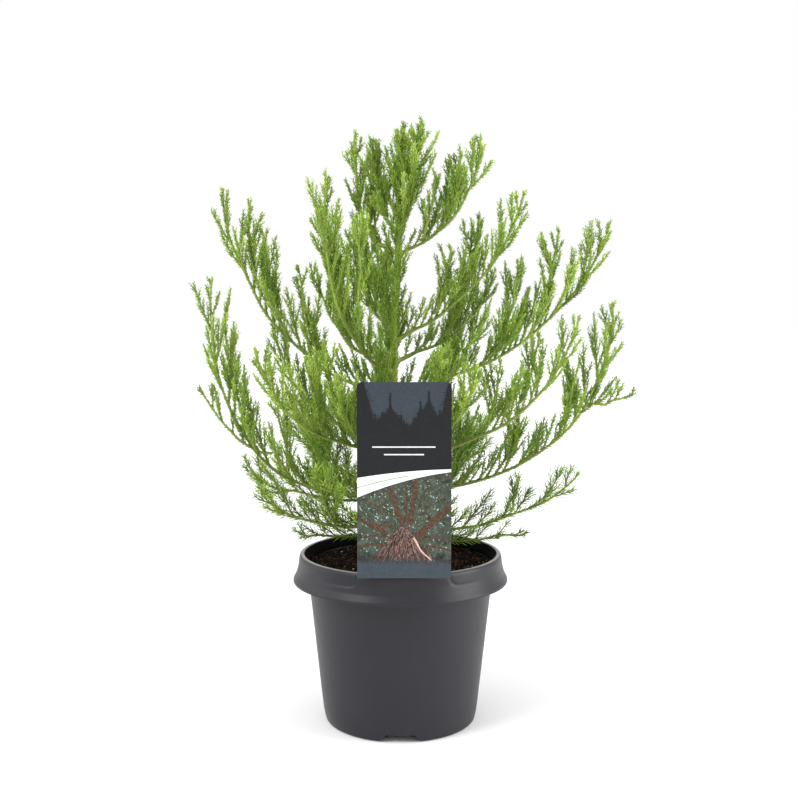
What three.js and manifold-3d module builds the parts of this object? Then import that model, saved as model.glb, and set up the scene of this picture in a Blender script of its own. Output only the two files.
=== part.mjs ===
// A young giant sequoia in a nursery pot. Millimetres, +Z up.
// The origin is the middle of the pot's underside; -Y is the side the label faces.
import * as THREE from "three";
import { mergeVertices } from "three/addons/utils/BufferGeometryUtils.js";
import Module from "manifold-3d";

const wasm = await Module();
wasm.setup();

// ---- sizes ----
const GAP = 0.35; // air between pieces that rest on or are cut by each other
const POT_HEIGHT = 150;
const POT_TURNS = 28; // flats round the pot
const FOOT_RADIUS = 67.2;
const WALL = 1.5;
const FLOOR = 1.6;
const SKIRT_BOTTOM = 125.4;
const SKIRT_RADIUS = 95.2;
const CHANNELS = 4; // drainage channels under the pot
const CHANNEL_HEIGHT = 7;
const CHANNEL_INNER = 26; // the channels stop here, round a central foot
const CHANNEL_HALF_TOP = 11.5;
const CHANNEL_HALF_BOTTOM = 18;
const DRAIN_RADIUS = 4.5;
const DRAIN_AT = 50;
const SOIL_TOP = 140;
const SOIL_DOME = 1.2; // rise of the soil at the stem
const TRUNK_TOP = 520;
const TRUNK_RADIUS = 4.6; // just above the flare
const TRUNK_FLARE = 3.2; // extra radius at the soil
const TRUNK_TIP = 0.8;
const TRUNK_SIDES = 8;
const BOUGH_SIDES = 5;
const BOUGH_STEPS = 4;
const BOUGH_END = 1.1; // radius where a bough enters its mass
const CARD_WIDTH = 76;
const CARD_LEFT = -35;
const CARD_BOTTOM = 148.4;
const CARD_TOP = 308;
const CARD_THICK = 0.8;
const CARD_FRONT = -92.6;
const CARD_CORNER = 4;
const STAKE_WIDTH = 14;
const STAKE_THICK = 1;
const STAKE_TOP = 196;
const STAKE_DEPTH = 96; // how low the stake reaches in the soil

// The stem sways a little: [height, x, y].
const TRUNK_LINE = [
  [SOIL_TOP - 4, 1, 0],
  [215, -4, 1],
  [300, -6.5, 0],
  [360, -5, -1],
  [412, -2, 0],
  [470, -1, 1],
  [TRUNK_TOP, 3, 0],
];

// One row per bough, from the top down. at: height on the stem. az: compass angle, 0 = +X and
// 90 = +Y. reach, rise: from the stem to the tip. bow: how much of the rise is left to the end.
// wide, deep: half widths of its foliage up and down, and across. from: where the foliage starts
// along the bough, 0 to 1. sides: plumes that stand up from the bough, each
// [where it leaves, turn of its compass angle, length, half width, how steeply it rises].
const BOUGHS = [
  { name: "top_left", at: 414, az: 150, reach: 42, rise: 105, bow: 0.8, wide: 16, deep: 15, from: 0.26,
    sides: [[0.4, -70, 70, 11]] },
  { name: "top_right", at: 412, az: -12, reach: 72, rise: 98, bow: 0.45, wide: 16, deep: 15, from: 0.16,
    sides: [[0.42, 30, 60, 12], [0.2, -30, 60, 10]] },
  { name: "high_right", at: 336, az: -10, reach: 112, rise: 128, bow: 0.3, wide: 19, deep: 18, from: 0.22,
    sides: [[0.44, 30, 66, 13], [0.26, -30, 60, 11]] },
  { name: "high_front_left", at: 310, az: -130, reach: 86, rise: 164, bow: 0.72, wide: 19, deep: 17,
    from: 0.18, sides: [[0.48, -60, 94, 15], [0.42, 55, 98, 14]] },
  { name: "high_back_left", at: 343, az: 122, reach: 66, rise: 108, bow: 0.5, wide: 19, deep: 18,
    from: 0.24, sides: [[0.3, -60, 64, 13]] },
  { name: "high_back", at: 330, az: 98, reach: 118, rise: 100, bow: 0.47, wide: 20, deep: 20, from: 0.34,
    sides: [[0.42, -25, 60, 14]] },
  { name: "high_back_right", at: 318, az: 42, reach: 128, rise: 84, bow: 0.4, wide: 19, deep: 20,
    from: 0.3, sides: [[0.36, -40, 64, 13]] },
  { name: "upper_left", at: 285, az: 176, reach: 150, rise: 186, bow: 0.52, wide: 23, deep: 22,
    from: 0.22, sides: [[0.7, -60, 70, 14], [0.52, -30, 82, 14], [0.3, 35, 86, 16]] },
  { name: "upper_right", at: 287, az: 8, reach: 194, rise: 154, bow: 0.42, wide: 22, deep: 21, from: 0.28,
    sides: [[0.58, 35, 78, 15], [0.36, -30, 86, 16]] },
  { name: "upper_front", at: 270, az: -62, reach: 86, rise: 64, bow: 0.5, wide: 14, deep: 17, from: 0.34,
    sides: [] },
  { name: "middle_back", at: 232, az: 96, reach: 166, rise: 116, bow: 0.5, wide: 24, deep: 24, from: 0.34,
    sides: [[0.4, 30, 70, 17]] },
  { name: "middle_back_right", at: 262, az: 54, reach: 144, rise: 118, bow: 0.4, wide: 22, deep: 22,
    from: 0.32, sides: [[0.4, -35, 60, 15]] },
  { name: "middle_right", at: 230, az: -22, reach: 162, rise: 130, bow: 0.52, wide: 19, deep: 20,
    from: 0.34, sides: [[0.56, 30, 62, 13], [0.38, -20, 62, 13]] },
  { name: "middle_left_back", at: 244, az: 152, reach: 126, rise: 112, bow: 0.6, wide: 20, deep: 20,
    from: 0.34, sides: [[0.44, 35, 60, 14]] },
  { name: "middle_left_front", at: 236, az: -137, reach: 150, rise: 98, bow: 0.5, wide: 18, deep: 18,
    from: 0.36, sides: [[0.42, 30, 70, 14]] },
  { name: "front_left", at: 226, az: -116, reach: 104, rise: 88, bow: 0.45, wide: 17, deep: 18, from: 0.4,
    sides: [] },
  { name: "front_right", at: 236, az: -56, reach: 116, rise: 86, bow: 0.5, wide: 17, deep: 18, from: 0.4,
    sides: [] },
  { name: "outer_right", at: 199, az: 4, reach: 192, rise: 170, bow: 0.76, wide: 21, deep: 22, from: 0.24,
    sides: [[0.56, -24, 62, 14], [0.34, 30, 50, 14], [0.64, 0, 60, 10, 12]] },
  { name: "outer_left", at: 196, az: -172, reach: 158, rise: 196, bow: 0.95, wide: 24, deep: 22,
    from: 0.3, sides: [[0.58, -35, 96, 16], [0.34, 30, 76, 16], [0.46, 5, 86, 12, 44]] },
  { name: "low_back_left", at: 190, az: 130, reach: 160, rise: 86, bow: 0.6, wide: 20, deep: 22,
    from: 0.34, sides: [[0.4, 35, 60, 16]] },
  { name: "low_back_right", at: 182, az: 58, reach: 156, rise: 76, bow: 0.5, wide: 20, deep: 22,
    from: 0.34, sides: [[0.4, -35, 60, 16]] },
  { name: "low_left", at: 192, az: 162, reach: 150, rise: 36, bow: 0.75, wide: 12, deep: 18, from: 0.24,
    sides: [[0.3, 25, 30, 9]] },
  { name: "low_right", at: 163, az: 5, reach: 162, rise: 56, bow: 0.45, wide: 12, deep: 18, from: 0.22,
    sides: [[0.5, 25, 32, 9]] },
  { name: "lowest_left_front", at: 171, az: -160, reach: 128, rise: 46, bow: 0.6, wide: 10, deep: 17,
    from: 0.26, sides: [] },
  { name: "lowest_left", at: 164, az: 172, reach: 96, rise: 2, bow: 0.9, wide: 7, deep: 14, from: 0.26,
    sides: [] },
  { name: "lowest_right", at: 159, az: -12, reach: 114, rise: 14, bow: 0.1, wide: 7, deep: 15, from: 0.26,
    sides: [] },
  { name: "lowest_back", at: 172, az: 100, reach: 140, rise: 42, bow: 0.6, wide: 12, deep: 20, from: 0.34,
    sides: [] },
];

// The leader's own foliage stands on the stem's top.
const LEADER = {
  name: "leader", at: 424, az: 0, reach: 5, rise: 99, bow: 0, wide: 12, deep: 12, from: 0,
  sides: [[0.12, -45, 92, 12], [0.06, 170, 84, 11]],
};
const SMALL_PLUME = 14; // plumes no wider than this have fewer facets
const SIDE_TILT = 73; // how steeply a standing plume rises where its row does not say, in degrees

const POT_COLOUR = 0x3f4146;
const SOIL_COLOUR = 0x221b16;
const TRUNK_COLOUR = 0x7d8a45;
const BOUGH_COLOUR = 0x8b9a4a;
const LEAF_COLOURS = [0x4f7a35, 0x5f8a3b, 0x436b33];
const CARD_COLOUR = 0x4c555c;
const STAKE_COLOUR = 0xd8dad8;

// ---- helpers ----

const group = new THREE.Group();
group.name = "sequoia_in_pot";

// A closed manifold solid from any three.js geometry.
function solid(geometry) {
  const bare = new THREE.BufferGeometry();
  bare.setAttribute("position", geometry.getAttribute("position").clone());
  if (geometry.index) bare.setIndex(geometry.index.clone());
  const welded = mergeVertices(bare, 1e-4);
  const mesh = new wasm.Mesh({
    numProp: 3,
    vertProperties: new Float32Array(welded.getAttribute("position").array),
    triVerts: new Uint32Array(welded.index.array),
  });
  mesh.merge();
  return new wasm.Manifold(mesh);
}

// The biggest single body of a solid that cutting may have split.
function largest(body) {
  const pieces = body.decompose();
  pieces.sort((a, b) => b.volume() - a.volume());
  return pieces[0];
}

// Adds one named mesh to the group.
function add(name, body, colour, roughness) {
  const raw = body.getMesh();
  const geometry = new THREE.BufferGeometry();
  const points = new Float32Array(raw.vertProperties);
  geometry.setAttribute("position", new THREE.BufferAttribute(points, 3));
  geometry.setIndex(new THREE.BufferAttribute(new Uint32Array(raw.triVerts), 1));
  geometry.computeVertexNormals();
  const material = new THREE.MeshStandardMaterial({ color: colour, roughness, metalness: 0 });
  material.name = name;
  const mesh = new THREE.Mesh(geometry, material);
  mesh.name = name;
  group.add(mesh);
}

// A body turned from a profile of [radius, height] points about the Z axis.
function turned(points, turns) {
  const profile = points.map(([radius, height]) => new THREE.Vector2(radius, height));
  const geometry = new THREE.LatheGeometry(profile, turns);
  geometry.rotateX(Math.PI / 2);
  return solid(geometry);
}

// ---- pot ----

// The outside of the pot with the groove between the wall and the rim's skirt.
function potOutside() {
  return turned([
    [0, 0],
    [FOOT_RADIUS - 2.2, 0],
    [FOOT_RADIUS - 0.5, 1],
    [FOOT_RADIUS + 0.3, 3.4],
    [FOOT_RADIUS + 1.4, 9],
    [81.5, SKIRT_BOTTOM],
    [83.4, 143],
    [86.4, 146],
    [88.4, 143],
    [90.6, 134],
    [SKIRT_RADIUS - 1.5, SKIRT_BOTTOM],
    [SKIRT_RADIUS, SKIRT_BOTTOM],
    [SKIRT_RADIUS, SKIRT_BOTTOM + 1.8],
    [92.4, 133],
    [90.6, 140],
    [89.8, 147],
    [89, POT_HEIGHT - 0.7],
    [87.6, POT_HEIGHT],
    [0, POT_HEIGHT],
  ], POT_TURNS);
}

// The hollow of the pot, drawn in by `shrink` on the sides and the floor.
function potInside(shrink, top) {
  const slope = (81.9 - 80) / (143 - SKIRT_BOTTOM);
  const points = [
    [0, FLOOR + shrink],
    [FOOT_RADIUS - 6.6 - shrink, FLOOR + shrink],
    [FOOT_RADIUS - 1.6 - shrink, 5],
    [FOOT_RADIUS - 0.1 - shrink, 9.2],
    [80 - shrink, SKIRT_BOTTOM],
  ];
  if (top > 146) {
    points.push([81.9, 143], [84.6, 147.6], [86, POT_HEIGHT + 1], [0, POT_HEIGHT + 1]);
  } else {
    points.push([80 - shrink + slope * (top - SOIL_DOME - SKIRT_BOTTOM), top - SOIL_DOME]);
    points.push([40, top - 0.4], [12, top], [0, top]);
  }
  return turned(points, POT_TURNS);
}

// The drainage channels: S-sided grooves cut in from the edge, `grow` bigger all round.
function channels(grow) {
  const half = CHANNEL_HALF_TOP + grow;
  const foot = CHANNEL_HALF_BOTTOM + grow;
  const high = CHANNEL_HEIGHT + grow;
  const outline = new THREE.Shape();
  outline.moveTo(-foot, -2);
  outline.lineTo(foot, -2);
  outline.lineTo(foot, 0);
  outline.bezierCurveTo(foot - 4, 0, half + 2, high, half - 2, high);
  outline.lineTo(-half + 2, high);
  outline.bezierCurveTo(-half - 2, high, -foot + 4, 0, -foot, 0);
  outline.closePath();
  const length = 90;
  const groove = new THREE.ExtrudeGeometry(outline, {
    depth: length,
    bevelEnabled: false,
    curveSegments: 5,
  });
  groove.rotateX(Math.PI / 2);
  groove.translate(0, -CHANNEL_INNER + grow, 0);
  const one = solid(groove);
  let all = one;
  for (let i = 1; i < CHANNELS; i += 1) {
    all = all.add(one.rotate([0, 0, (360 * i) / CHANNELS]));
  }
  return all;
}

// The drain holes, one through the roof of each channel.
function drains() {
  const hole = new THREE.CylinderGeometry(DRAIN_RADIUS, DRAIN_RADIUS, 6, 10);
  hole.rotateX(Math.PI / 2);
  hole.translate(0, -DRAIN_AT, CHANNEL_HEIGHT + FLOOR / 2);
  const one = solid(hole);
  let all = one;
  for (let i = 1; i < CHANNELS; i += 1) {
    all = all.add(one.rotate([0, 0, (360 * i) / CHANNELS]));
  }
  return all;
}

const shell = potOutside().subtract(channels(0));
const hollow = potInside(0, POT_HEIGHT).subtract(channels(FLOOR));
const pot = shell.subtract(hollow).subtract(drains());

// ---- label ----

// The card: a rounded board that stands in front of the rim.
function card() {
  const r = CARD_CORNER;
  const right = CARD_LEFT + CARD_WIDTH;
  const outline = new THREE.Shape();
  outline.moveTo(CARD_LEFT, CARD_BOTTOM);
  outline.lineTo(right, CARD_BOTTOM);
  outline.lineTo(right, CARD_TOP - r);
  outline.absarc(right - r, CARD_TOP - r, r, 0, Math.PI / 2, false);
  outline.lineTo(CARD_LEFT + r, CARD_TOP);
  outline.absarc(CARD_LEFT + r, CARD_TOP - r, r, Math.PI / 2, Math.PI, false);
  outline.closePath();
  const board = new THREE.ExtrudeGeometry(outline, {
    depth: CARD_THICK,
    bevelEnabled: false,
    curveSegments: 4,
  });
  board.rotateX(Math.PI / 2);
  board.translate(0, CARD_FRONT + CARD_THICK, 0);
  return solid(board);
}

// The stake: a strip up the card's back, over the rim and down into the soil.
function stake(grow) {
  const back = CARD_FRONT + CARD_THICK + GAP;
  const over = POT_HEIGHT + GAP + 0.3;
  const t = STAKE_THICK;
  const outline = new THREE.Shape();
  outline.moveTo(back - grow, over - grow);
  outline.lineTo(-82 - grow, over - grow);
  outline.lineTo(-73.6 - grow, STAKE_DEPTH - grow);
  outline.lineTo(-72.4 + grow, STAKE_DEPTH - grow);
  outline.lineTo(-80.8 + grow, over + t + grow);
  outline.lineTo(back + t + grow, over + t + grow);
  outline.lineTo(back + t + grow, STAKE_TOP + grow);
  outline.lineTo(back - grow, STAKE_TOP + grow);
  outline.closePath();
  const wide = STAKE_WIDTH + 2 * grow;
  const strip = new THREE.ExtrudeGeometry(outline, { depth: wide, bevelEnabled: false });
  strip.applyMatrix4(new THREE.Matrix4().set(0, 0, 1, -wide / 2, 1, 0, 0, 0, 0, 1, 0, 0, 0, 0, 0, 1));
  return solid(strip).translate([CARD_LEFT + CARD_WIDTH / 2, 0, 0]);
}

// ---- stem and boughs ----

const trunkCurve = new THREE.CatmullRomCurve3(
  TRUNK_LINE.map(([height, x, y]) => new THREE.Vector3(x, y, height)),
);

// The point on the stem's axis at a height.
function onStem(height) {
  const span = TRUNK_TOP - TRUNK_LINE[0][0];
  let t = (height - TRUNK_LINE[0][0]) / span;
  for (let i = 0; i < 6; i += 1) {
    t -= (trunkCurve.getPoint(t).z - height) / span;
  }
  return trunkCurve.getPoint(t);
}

// A tapering limb along a curve; radius(t) gives its thickness.
function limb(curve, radius, sides, steps, grow) {
  const geometry = new THREE.CylinderGeometry(1, 1, 1, sides, steps);
  const frames = curve.computeFrenetFrames(steps, false);
  const at = geometry.getAttribute("position");
  for (let i = 0; i < at.count; i += 1) {
    const t = at.getY(i) + 0.5;
    const k = Math.round(t * steps);
    const middle = curve.getPointAt(t);
    const r = radius(t) + grow;
    middle.addScaledVector(frames.normals[k], r * at.getX(i));
    middle.addScaledVector(frames.binormals[k], r * at.getZ(i));
    if (k === 0) middle.addScaledVector(frames.tangents[k], -grow);
    if (k === steps) middle.addScaledVector(frames.tangents[k], grow);
    at.setXYZ(i, middle.x, middle.y, middle.z);
  }
  const body = solid(geometry);
  return body.volume() > 0 ? body : solid(flipped(geometry));
}

// The same geometry with its faces turned round.
function flipped(geometry) {
  const order = geometry.index;
  for (let i = 0; i < order.count; i += 3) {
    const keep = order.getX(i);
    order.setX(i, order.getX(i + 2));
    order.setX(i + 2, keep);
  }
  return geometry;
}

function trunkRadius(t) {
  const flare = TRUNK_FLARE * Math.exp(-t * 22);
  return TRUNK_TIP + (TRUNK_RADIUS - TRUNK_TIP) * (1 - t) ** 0.75 + flare;
}

// The path of a bough: flat near the stem, steeper towards the tip.
function boughPath(row) {
  const base = onStem(row.at);
  const turn = THREE.MathUtils.degToRad(row.az);
  return (t) => {
    const out = row.reach * ((1 + row.bow) * t - row.bow * t * t);
    const up = row.rise * ((1 - row.bow) * t + row.bow * t * t);
    return new THREE.Vector3(base.x + out * Math.cos(turn), base.y + out * Math.sin(turn), base.z + up);
  };
}

// A curve through points taken from a path between two places on it.
function stretch(path, start, end) {
  const points = [];
  for (let i = 0; i <= 8; i += 1) {
    points.push(path(start + ((end - start) * i) / 8));
  }
  return new THREE.CatmullRomCurve3(points);
}

// ---- foliage ----

// Half width of a plume along its length: narrow at the foot, blunt at the top.
function plumeShape(s) {
  return (0.3 + 0.7 * s ** 0.7) * Math.sqrt(Math.max(0, 1 - s ** 7)) * Math.min(1, 0.25 + 6 * s);
}

// One uneven plume round a curve. `seed` shifts the waves that make it uneven.
function plume(curve, wide, deep, seed, grow, around, along) {
  const geometry = new THREE.SphereGeometry(1, around, along);
  const at = geometry.getAttribute("position");
  const side = new THREE.Vector3();
  const lift = new THREE.Vector3();
  const up = new THREE.Vector3(0, 0, 1);
  for (let i = 0; i < at.count; i += 1) {
    const s = Math.sin(Math.acos(THREE.MathUtils.clamp(-at.getY(i), -1, 1)) / 2);
    const round = Math.hypot(at.getX(i), at.getZ(i));
    const angle = round > 1e-6 ? Math.atan2(at.getZ(i), at.getX(i)) : 0;
    const wave = 1 + 0.13 * Math.sin(3 * angle + seed + 5 * s) + 0.11 * Math.sin(9 * s + 2 * seed + angle);
    const tangent = curve.getTangentAt(s);
    side.crossVectors(tangent, up).normalize();
    lift.crossVectors(side, tangent).normalize();
    const size = round > 1e-6 ? plumeShape(s) * wave : 0;
    const point = curve.getPointAt(s);
    point.addScaledVector(lift, (size * wide + (round > 1e-6 ? grow : 0)) * Math.sin(angle));
    point.addScaledVector(side, (size * deep + (round > 1e-6 ? grow : 0)) * Math.cos(angle));
    if (round <= 1e-6) point.addScaledVector(tangent, s > 0.5 ? grow : -grow);
    at.setXYZ(i, point.x, point.y, point.z);
  }
  const body = solid(geometry);
  return body.volume() > 0 ? body : solid(flipped(geometry));
}

// The foliage of one row: the plume round the bough's end and those that stand beside it.
function foliage(row, seed, grow) {
  const path = boughPath(row);
  const [around, along] = row.wide > SMALL_PLUME ? [8, 5] : [6, 5];
  let body = plume(stretch(path, row.from, 1), row.wide, row.deep, seed, grow, around, along);
  row.sides.forEach(([leave, turn, length, wide, rises = SIDE_TILT], i) => {
    const tilt = THREE.MathUtils.degToRad(rises);
    const foot = path(leave);
    const az = THREE.MathUtils.degToRad(row.az + turn);
    const out = length * Math.cos(tilt);
    const up = length * Math.sin(tilt);
    const stand = (t) => new THREE.Vector3(
      foot.x + out * Math.cos(az) * Math.sqrt(t),
      foot.y + out * Math.sin(az) * Math.sqrt(t),
      foot.z + up * t,
    );
    body = body.add(plume(stretch(stand, 0, 1), wide, wide, seed + 2 + i, grow, 6, 5));
  });
  return body;
}

// ---- assembly ----

const soilBody = potInside(GAP, SOIL_TOP + SOIL_DOME).subtract(channels(FLOOR + GAP));
const soil = largest(soilBody.subtract(stake(GAP)));
const stemFoot = SOIL_TOP + SOIL_DOME + GAP; // the stem is cut flat here
const trunk = limb(trunkCurve, trunkRadius, TRUNK_SIDES, 14, 0).trimByPlane([0, 0, 1], stemFoot);
const trunkRoom = limb(trunkCurve, trunkRadius, TRUNK_SIDES, 14, GAP);

add("pot", pot, POT_COLOUR, 0.45);
add("soil", soil, SOIL_COLOUR, 0.95);
add("trunk", trunk, TRUNK_COLOUR, 0.7);
add("label_card", card(), CARD_COLOUR, 0.4);
add("label_stake", stake(0), STAKE_COLOUR, 0.5);

// The room in front of and round the card, and the pot's own room up to its rim.
const cardMiddle = [
  CARD_LEFT + CARD_WIDTH / 2,
  CARD_FRONT + CARD_THICK + GAP - 20,
  (CARD_TOP + CARD_BOTTOM) / 2,
];
const cardRoom = solid(
  new THREE.BoxGeometry(CARD_WIDTH + 2 * GAP, 40, CARD_TOP - CARD_BOTTOM + 2 * GAP),
).translate(cardMiddle);
const potRoom = turned([
  [0, 0],
  [SKIRT_RADIUS, 0],
  [SKIRT_RADIUS, POT_HEIGHT + GAP],
  [0, POT_HEIGHT + GAP],
], POT_TURNS);

// Everything that later pieces have to keep clear of.
let taken = trunkRoom.add(stake(GAP)).add(cardRoom).add(potRoom);

BOUGHS.forEach((row) => {
  const curve = stretch(boughPath(row), 0, row.from);
  const thick = 1.5 + row.reach / 190;
  const radius = (t) => thick + (BOUGH_END - thick) * t;
  const body = limb(curve, radius, BOUGH_SIDES, BOUGH_STEPS, 0);
  add(`bough_${row.name}`, largest(body.subtract(taken)), BOUGH_COLOUR, 0.7);
  taken = taken.add(limb(curve, radius, BOUGH_SIDES, BOUGH_STEPS, GAP));
});

[LEADER, ...BOUGHS].forEach((row, i) => {
  const body = largest(foliage(row, i * 1.7, 0).subtract(taken));
  add(`foliage_${row.name}`, body, LEAF_COLOURS[i % LEAF_COLOURS.length], 0.8);
  taken = taken.add(foliage(row, i * 1.7, GAP));
});

export default group;
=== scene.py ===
"""A young giant sequoia in a nursery pot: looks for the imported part, +Z up.

Shapes are worked out in millimetres; make_piece turns them into metres.
"""
import math
from collections import namedtuple

import bpy
import numpy as np
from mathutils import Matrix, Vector


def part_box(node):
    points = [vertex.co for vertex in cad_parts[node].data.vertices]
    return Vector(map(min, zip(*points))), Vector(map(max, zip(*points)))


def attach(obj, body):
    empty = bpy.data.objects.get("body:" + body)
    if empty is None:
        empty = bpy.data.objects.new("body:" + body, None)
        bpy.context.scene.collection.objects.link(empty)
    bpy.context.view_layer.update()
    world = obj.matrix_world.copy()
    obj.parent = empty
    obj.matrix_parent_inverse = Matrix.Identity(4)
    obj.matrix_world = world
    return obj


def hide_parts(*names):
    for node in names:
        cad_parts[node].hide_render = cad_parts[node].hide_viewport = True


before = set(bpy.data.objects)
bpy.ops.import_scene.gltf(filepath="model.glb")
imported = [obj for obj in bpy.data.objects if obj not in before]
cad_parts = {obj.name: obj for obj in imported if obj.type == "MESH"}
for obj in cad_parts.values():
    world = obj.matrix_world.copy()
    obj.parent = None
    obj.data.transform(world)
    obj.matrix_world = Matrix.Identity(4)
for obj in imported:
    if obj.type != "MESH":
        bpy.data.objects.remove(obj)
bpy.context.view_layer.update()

MM = 0.001
TURN = 2 * math.pi
UP = np.array([0.0, 0.0, 1.0])
GOLDEN = math.radians(137.508)
dice = np.random.default_rng(4127)

# ---------------- sizes, in millimetres
SOIL_TOP = 140.0
SOIL_DOME = 1.2
TRUNK_TOP = 520.0
TRUNK_RADIUS = 4.6
TRUNK_FLARE = 3.2
TRUNK_TIP = 0.8
TRUNK_LINE = np.array([
    [136.0, 1.0, 0.0], [215.0, -4.0, 1.0], [300.0, -6.5, 0.0], [360.0, -5.0, -1.0],
    [412.0, -2.0, 0.0], [470.0, -1.0, 1.0], [520.0, 3.0, 0.0],
])
CARD_LEFT, CARD_RIGHT = -35.0, 41.0
CARD_BOTTOM, CARD_TOP = 148.4, 308.0
CARD_FRONT, CARD_THICK, CARD_CORNER = -92.6, 0.8, 4.0

# Height on the stem, compass angle, reach, rise, bow, half width of the foliage, where along the
# bough it starts, then the bough's standing plumes: where each leaves, its turn, length, half
# width and, where it isn't the usual one, its steepness.
Bough = namedtuple("Bough", "height compass reach rise bow wide start plumes")
BOUGHS = {
    "leader": (424, 0, 5, 99, 0.0, 12, 0.0, [(0.12, -45, 92, 12), (0.06, 170, 84, 11)]),
    "top_left": (414, 150, 42, 105, 0.8, 16, 0.26, [(0.4, -70, 70, 11)]),
    "top_right": (412, -12, 72, 98, 0.45, 16, 0.16, [(0.42, 30, 60, 12), (0.2, -30, 60, 10)]),
    "high_right": (336, -10, 112, 128, 0.3, 19, 0.22, [(0.44, 30, 66, 13), (0.26, -30, 60, 11)]),
    "high_front_left": (310, -130, 86, 164, 0.72, 19, 0.18,
                        [(0.48, -60, 94, 15), (0.42, 55, 98, 14), (0.22, -60, 92, 13, 55)]),
    "high_back_left": (343, 122, 66, 108, 0.5, 19, 0.24, [(0.3, -60, 64, 13)]),
    "high_back": (330, 98, 118, 100, 0.47, 20, 0.34, [(0.42, -25, 60, 14)]),
    "high_back_right": (318, 42, 128, 84, 0.4, 19, 0.3, [(0.36, -40, 64, 13)]),
    "upper_left": (285, 176, 150, 186, 0.52, 23, 0.22,
                   [(0.7, -60, 70, 14), (0.52, -30, 82, 14), (0.3, 35, 86, 16)]),
    "upper_right": (287, 8, 194, 154, 0.42, 22, 0.28, [(0.58, 35, 78, 15), (0.36, -30, 86, 16)]),
    "upper_front": (270, -62, 86, 64, 0.5, 14, 0.34, []),
    "middle_back": (232, 96, 166, 116, 0.5, 24, 0.34, [(0.4, 30, 70, 17)]),
    "middle_back_right": (262, 54, 144, 118, 0.4, 22, 0.32, [(0.4, -35, 60, 15)]),
    "middle_right": (230, -22, 162, 130, 0.52, 19, 0.34, [(0.56, 30, 62, 13), (0.38, -20, 62, 13)]),
    "middle_left_back": (244, 152, 126, 112, 0.6, 20, 0.34, [(0.44, 35, 60, 14)]),
    "middle_left_front": (236, -137, 150, 98, 0.5, 18, 0.36,
                          [(0.42, 30, 70, 14), (0.25, -20, 90, 13, 75)]),
    "front_left": (226, -116, 104, 88, 0.45, 17, 0.4, [(0.3, -50, 62, 12, 60)]),
    "front_right": (236, -56, 116, 86, 0.5, 17, 0.4, [(0.35, 30, 80, 13, 78)]),
    "outer_right": (199, 4, 192, 170, 0.76, 21, 0.24,
                    [(0.56, -24, 62, 14), (0.34, 30, 50, 14), (0.64, 0, 60, 10, 12)]),
    "outer_left": (196, -172, 158, 196, 0.95, 24, 0.3,
                   [(0.58, -35, 96, 16), (0.34, 30, 76, 16), (0.46, 5, 86, 12, 44)]),
    "low_back_left": (190, 130, 160, 86, 0.6, 20, 0.34, [(0.4, 35, 60, 16)]),
    "low_back_right": (182, 58, 156, 76, 0.5, 20, 0.34, [(0.4, -35, 60, 16)]),
    "low_left": (192, 162, 150, 36, 0.75, 12, 0.24, [(0.3, 25, 30, 9)]),
    "low_right": (163, 5, 162, 56, 0.45, 12, 0.22, [(0.5, 25, 32, 9)]),
    "lowest_left_front": (171, -160, 128, 46, 0.6, 10, 0.26, [(0.3, 30, 60, 12, 60)]),
    "lowest_left": (164, 172, 96, 2, 0.9, 7, 0.26, []),
    "lowest_right": (159, -12, 114, 14, 0.1, 7, 0.26, []),
    "lowest_back": (172, 100, 140, 42, 0.6, 12, 0.34, []),
}
BOUGHS = {name: Bough(*row) for name, row in BOUGHS.items()}
SIDE_TILT = 73.0
# Shoots per length of a limb, where a bough has more or fewer than the rest.
DENSE = {"leader": 2.2, "top_left": 1.3, "top_right": 1.3, "high_front_left": 1.3,
         "upper_left": 0.64, "outer_left": 0.54, "outer_right": 0.85, "middle_right": 0.85,
         "low_left": 0.9, "low_right": 0.56, "lowest_right": 0.66, "front_left": 1.6,
         "front_right": 1.6, "middle_left_front": 1.1, "lowest_left_front": 1.2}
# The crown's storeys: the pieces of leaves and twigs are kept apart by storey.
STOREYS = {
    "crown": ["leader", "top_left", "top_right", "high_right", "high_front_left", "high_back_left",
              "high_back", "high_back_right"],
    "middle": ["upper_left", "upper_right", "upper_front", "middle_back", "middle_back_right",
               "middle_right", "middle_left_back", "middle_left_front"],
    "skirt": ["front_left", "front_right", "outer_right", "outer_left", "low_back_left",
              "low_back_right", "low_left", "low_right", "lowest_left_front", "lowest_left",
              "lowest_right", "lowest_back"],
}


# ---------------- mesh helpers

def unit(v):
    """Each vector divided by its own length."""
    return v / np.maximum(np.linalg.norm(v, axis=-1, keepdims=True), 1e-12)


def make_piece(name, shape, material=None, slot=None, nodes=(), smooth=True):
    """One mesh object at the origin from a shape: points in millimetres, arrays of faces."""
    points, faces = shape
    faces = [np.asarray(f, dtype=np.int32) for f in faces if len(f)]
    corners = np.concatenate([f.ravel() for f in faces])
    sizes = np.concatenate([np.full(len(f), f.shape[1], dtype=np.int32) for f in faces])
    starts = np.concatenate([[0], np.cumsum(sizes)[:-1]]).astype(np.int32)
    mesh = bpy.data.meshes.new(name)
    mesh.vertices.add(len(points))
    mesh.vertices.foreach_set("co", (points * MM).astype(np.float32).ravel())
    mesh.loops.add(len(corners))
    mesh.loops.foreach_set("vertex_index", corners)
    mesh.polygons.add(len(sizes))
    mesh.polygons.foreach_set("loop_start", starts)
    mesh.polygons.foreach_set("use_smooth", np.full(len(sizes), smooth))
    mesh.update(calc_edges=True)
    mesh.validate()
    obj = bpy.data.objects.new(name, mesh)
    bpy.context.collection.objects.link(obj)
    if material:
        mesh.materials.append(material)
    if slot:
        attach(obj, "root")
    if nodes:
        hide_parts(*nodes)
    return obj


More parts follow.
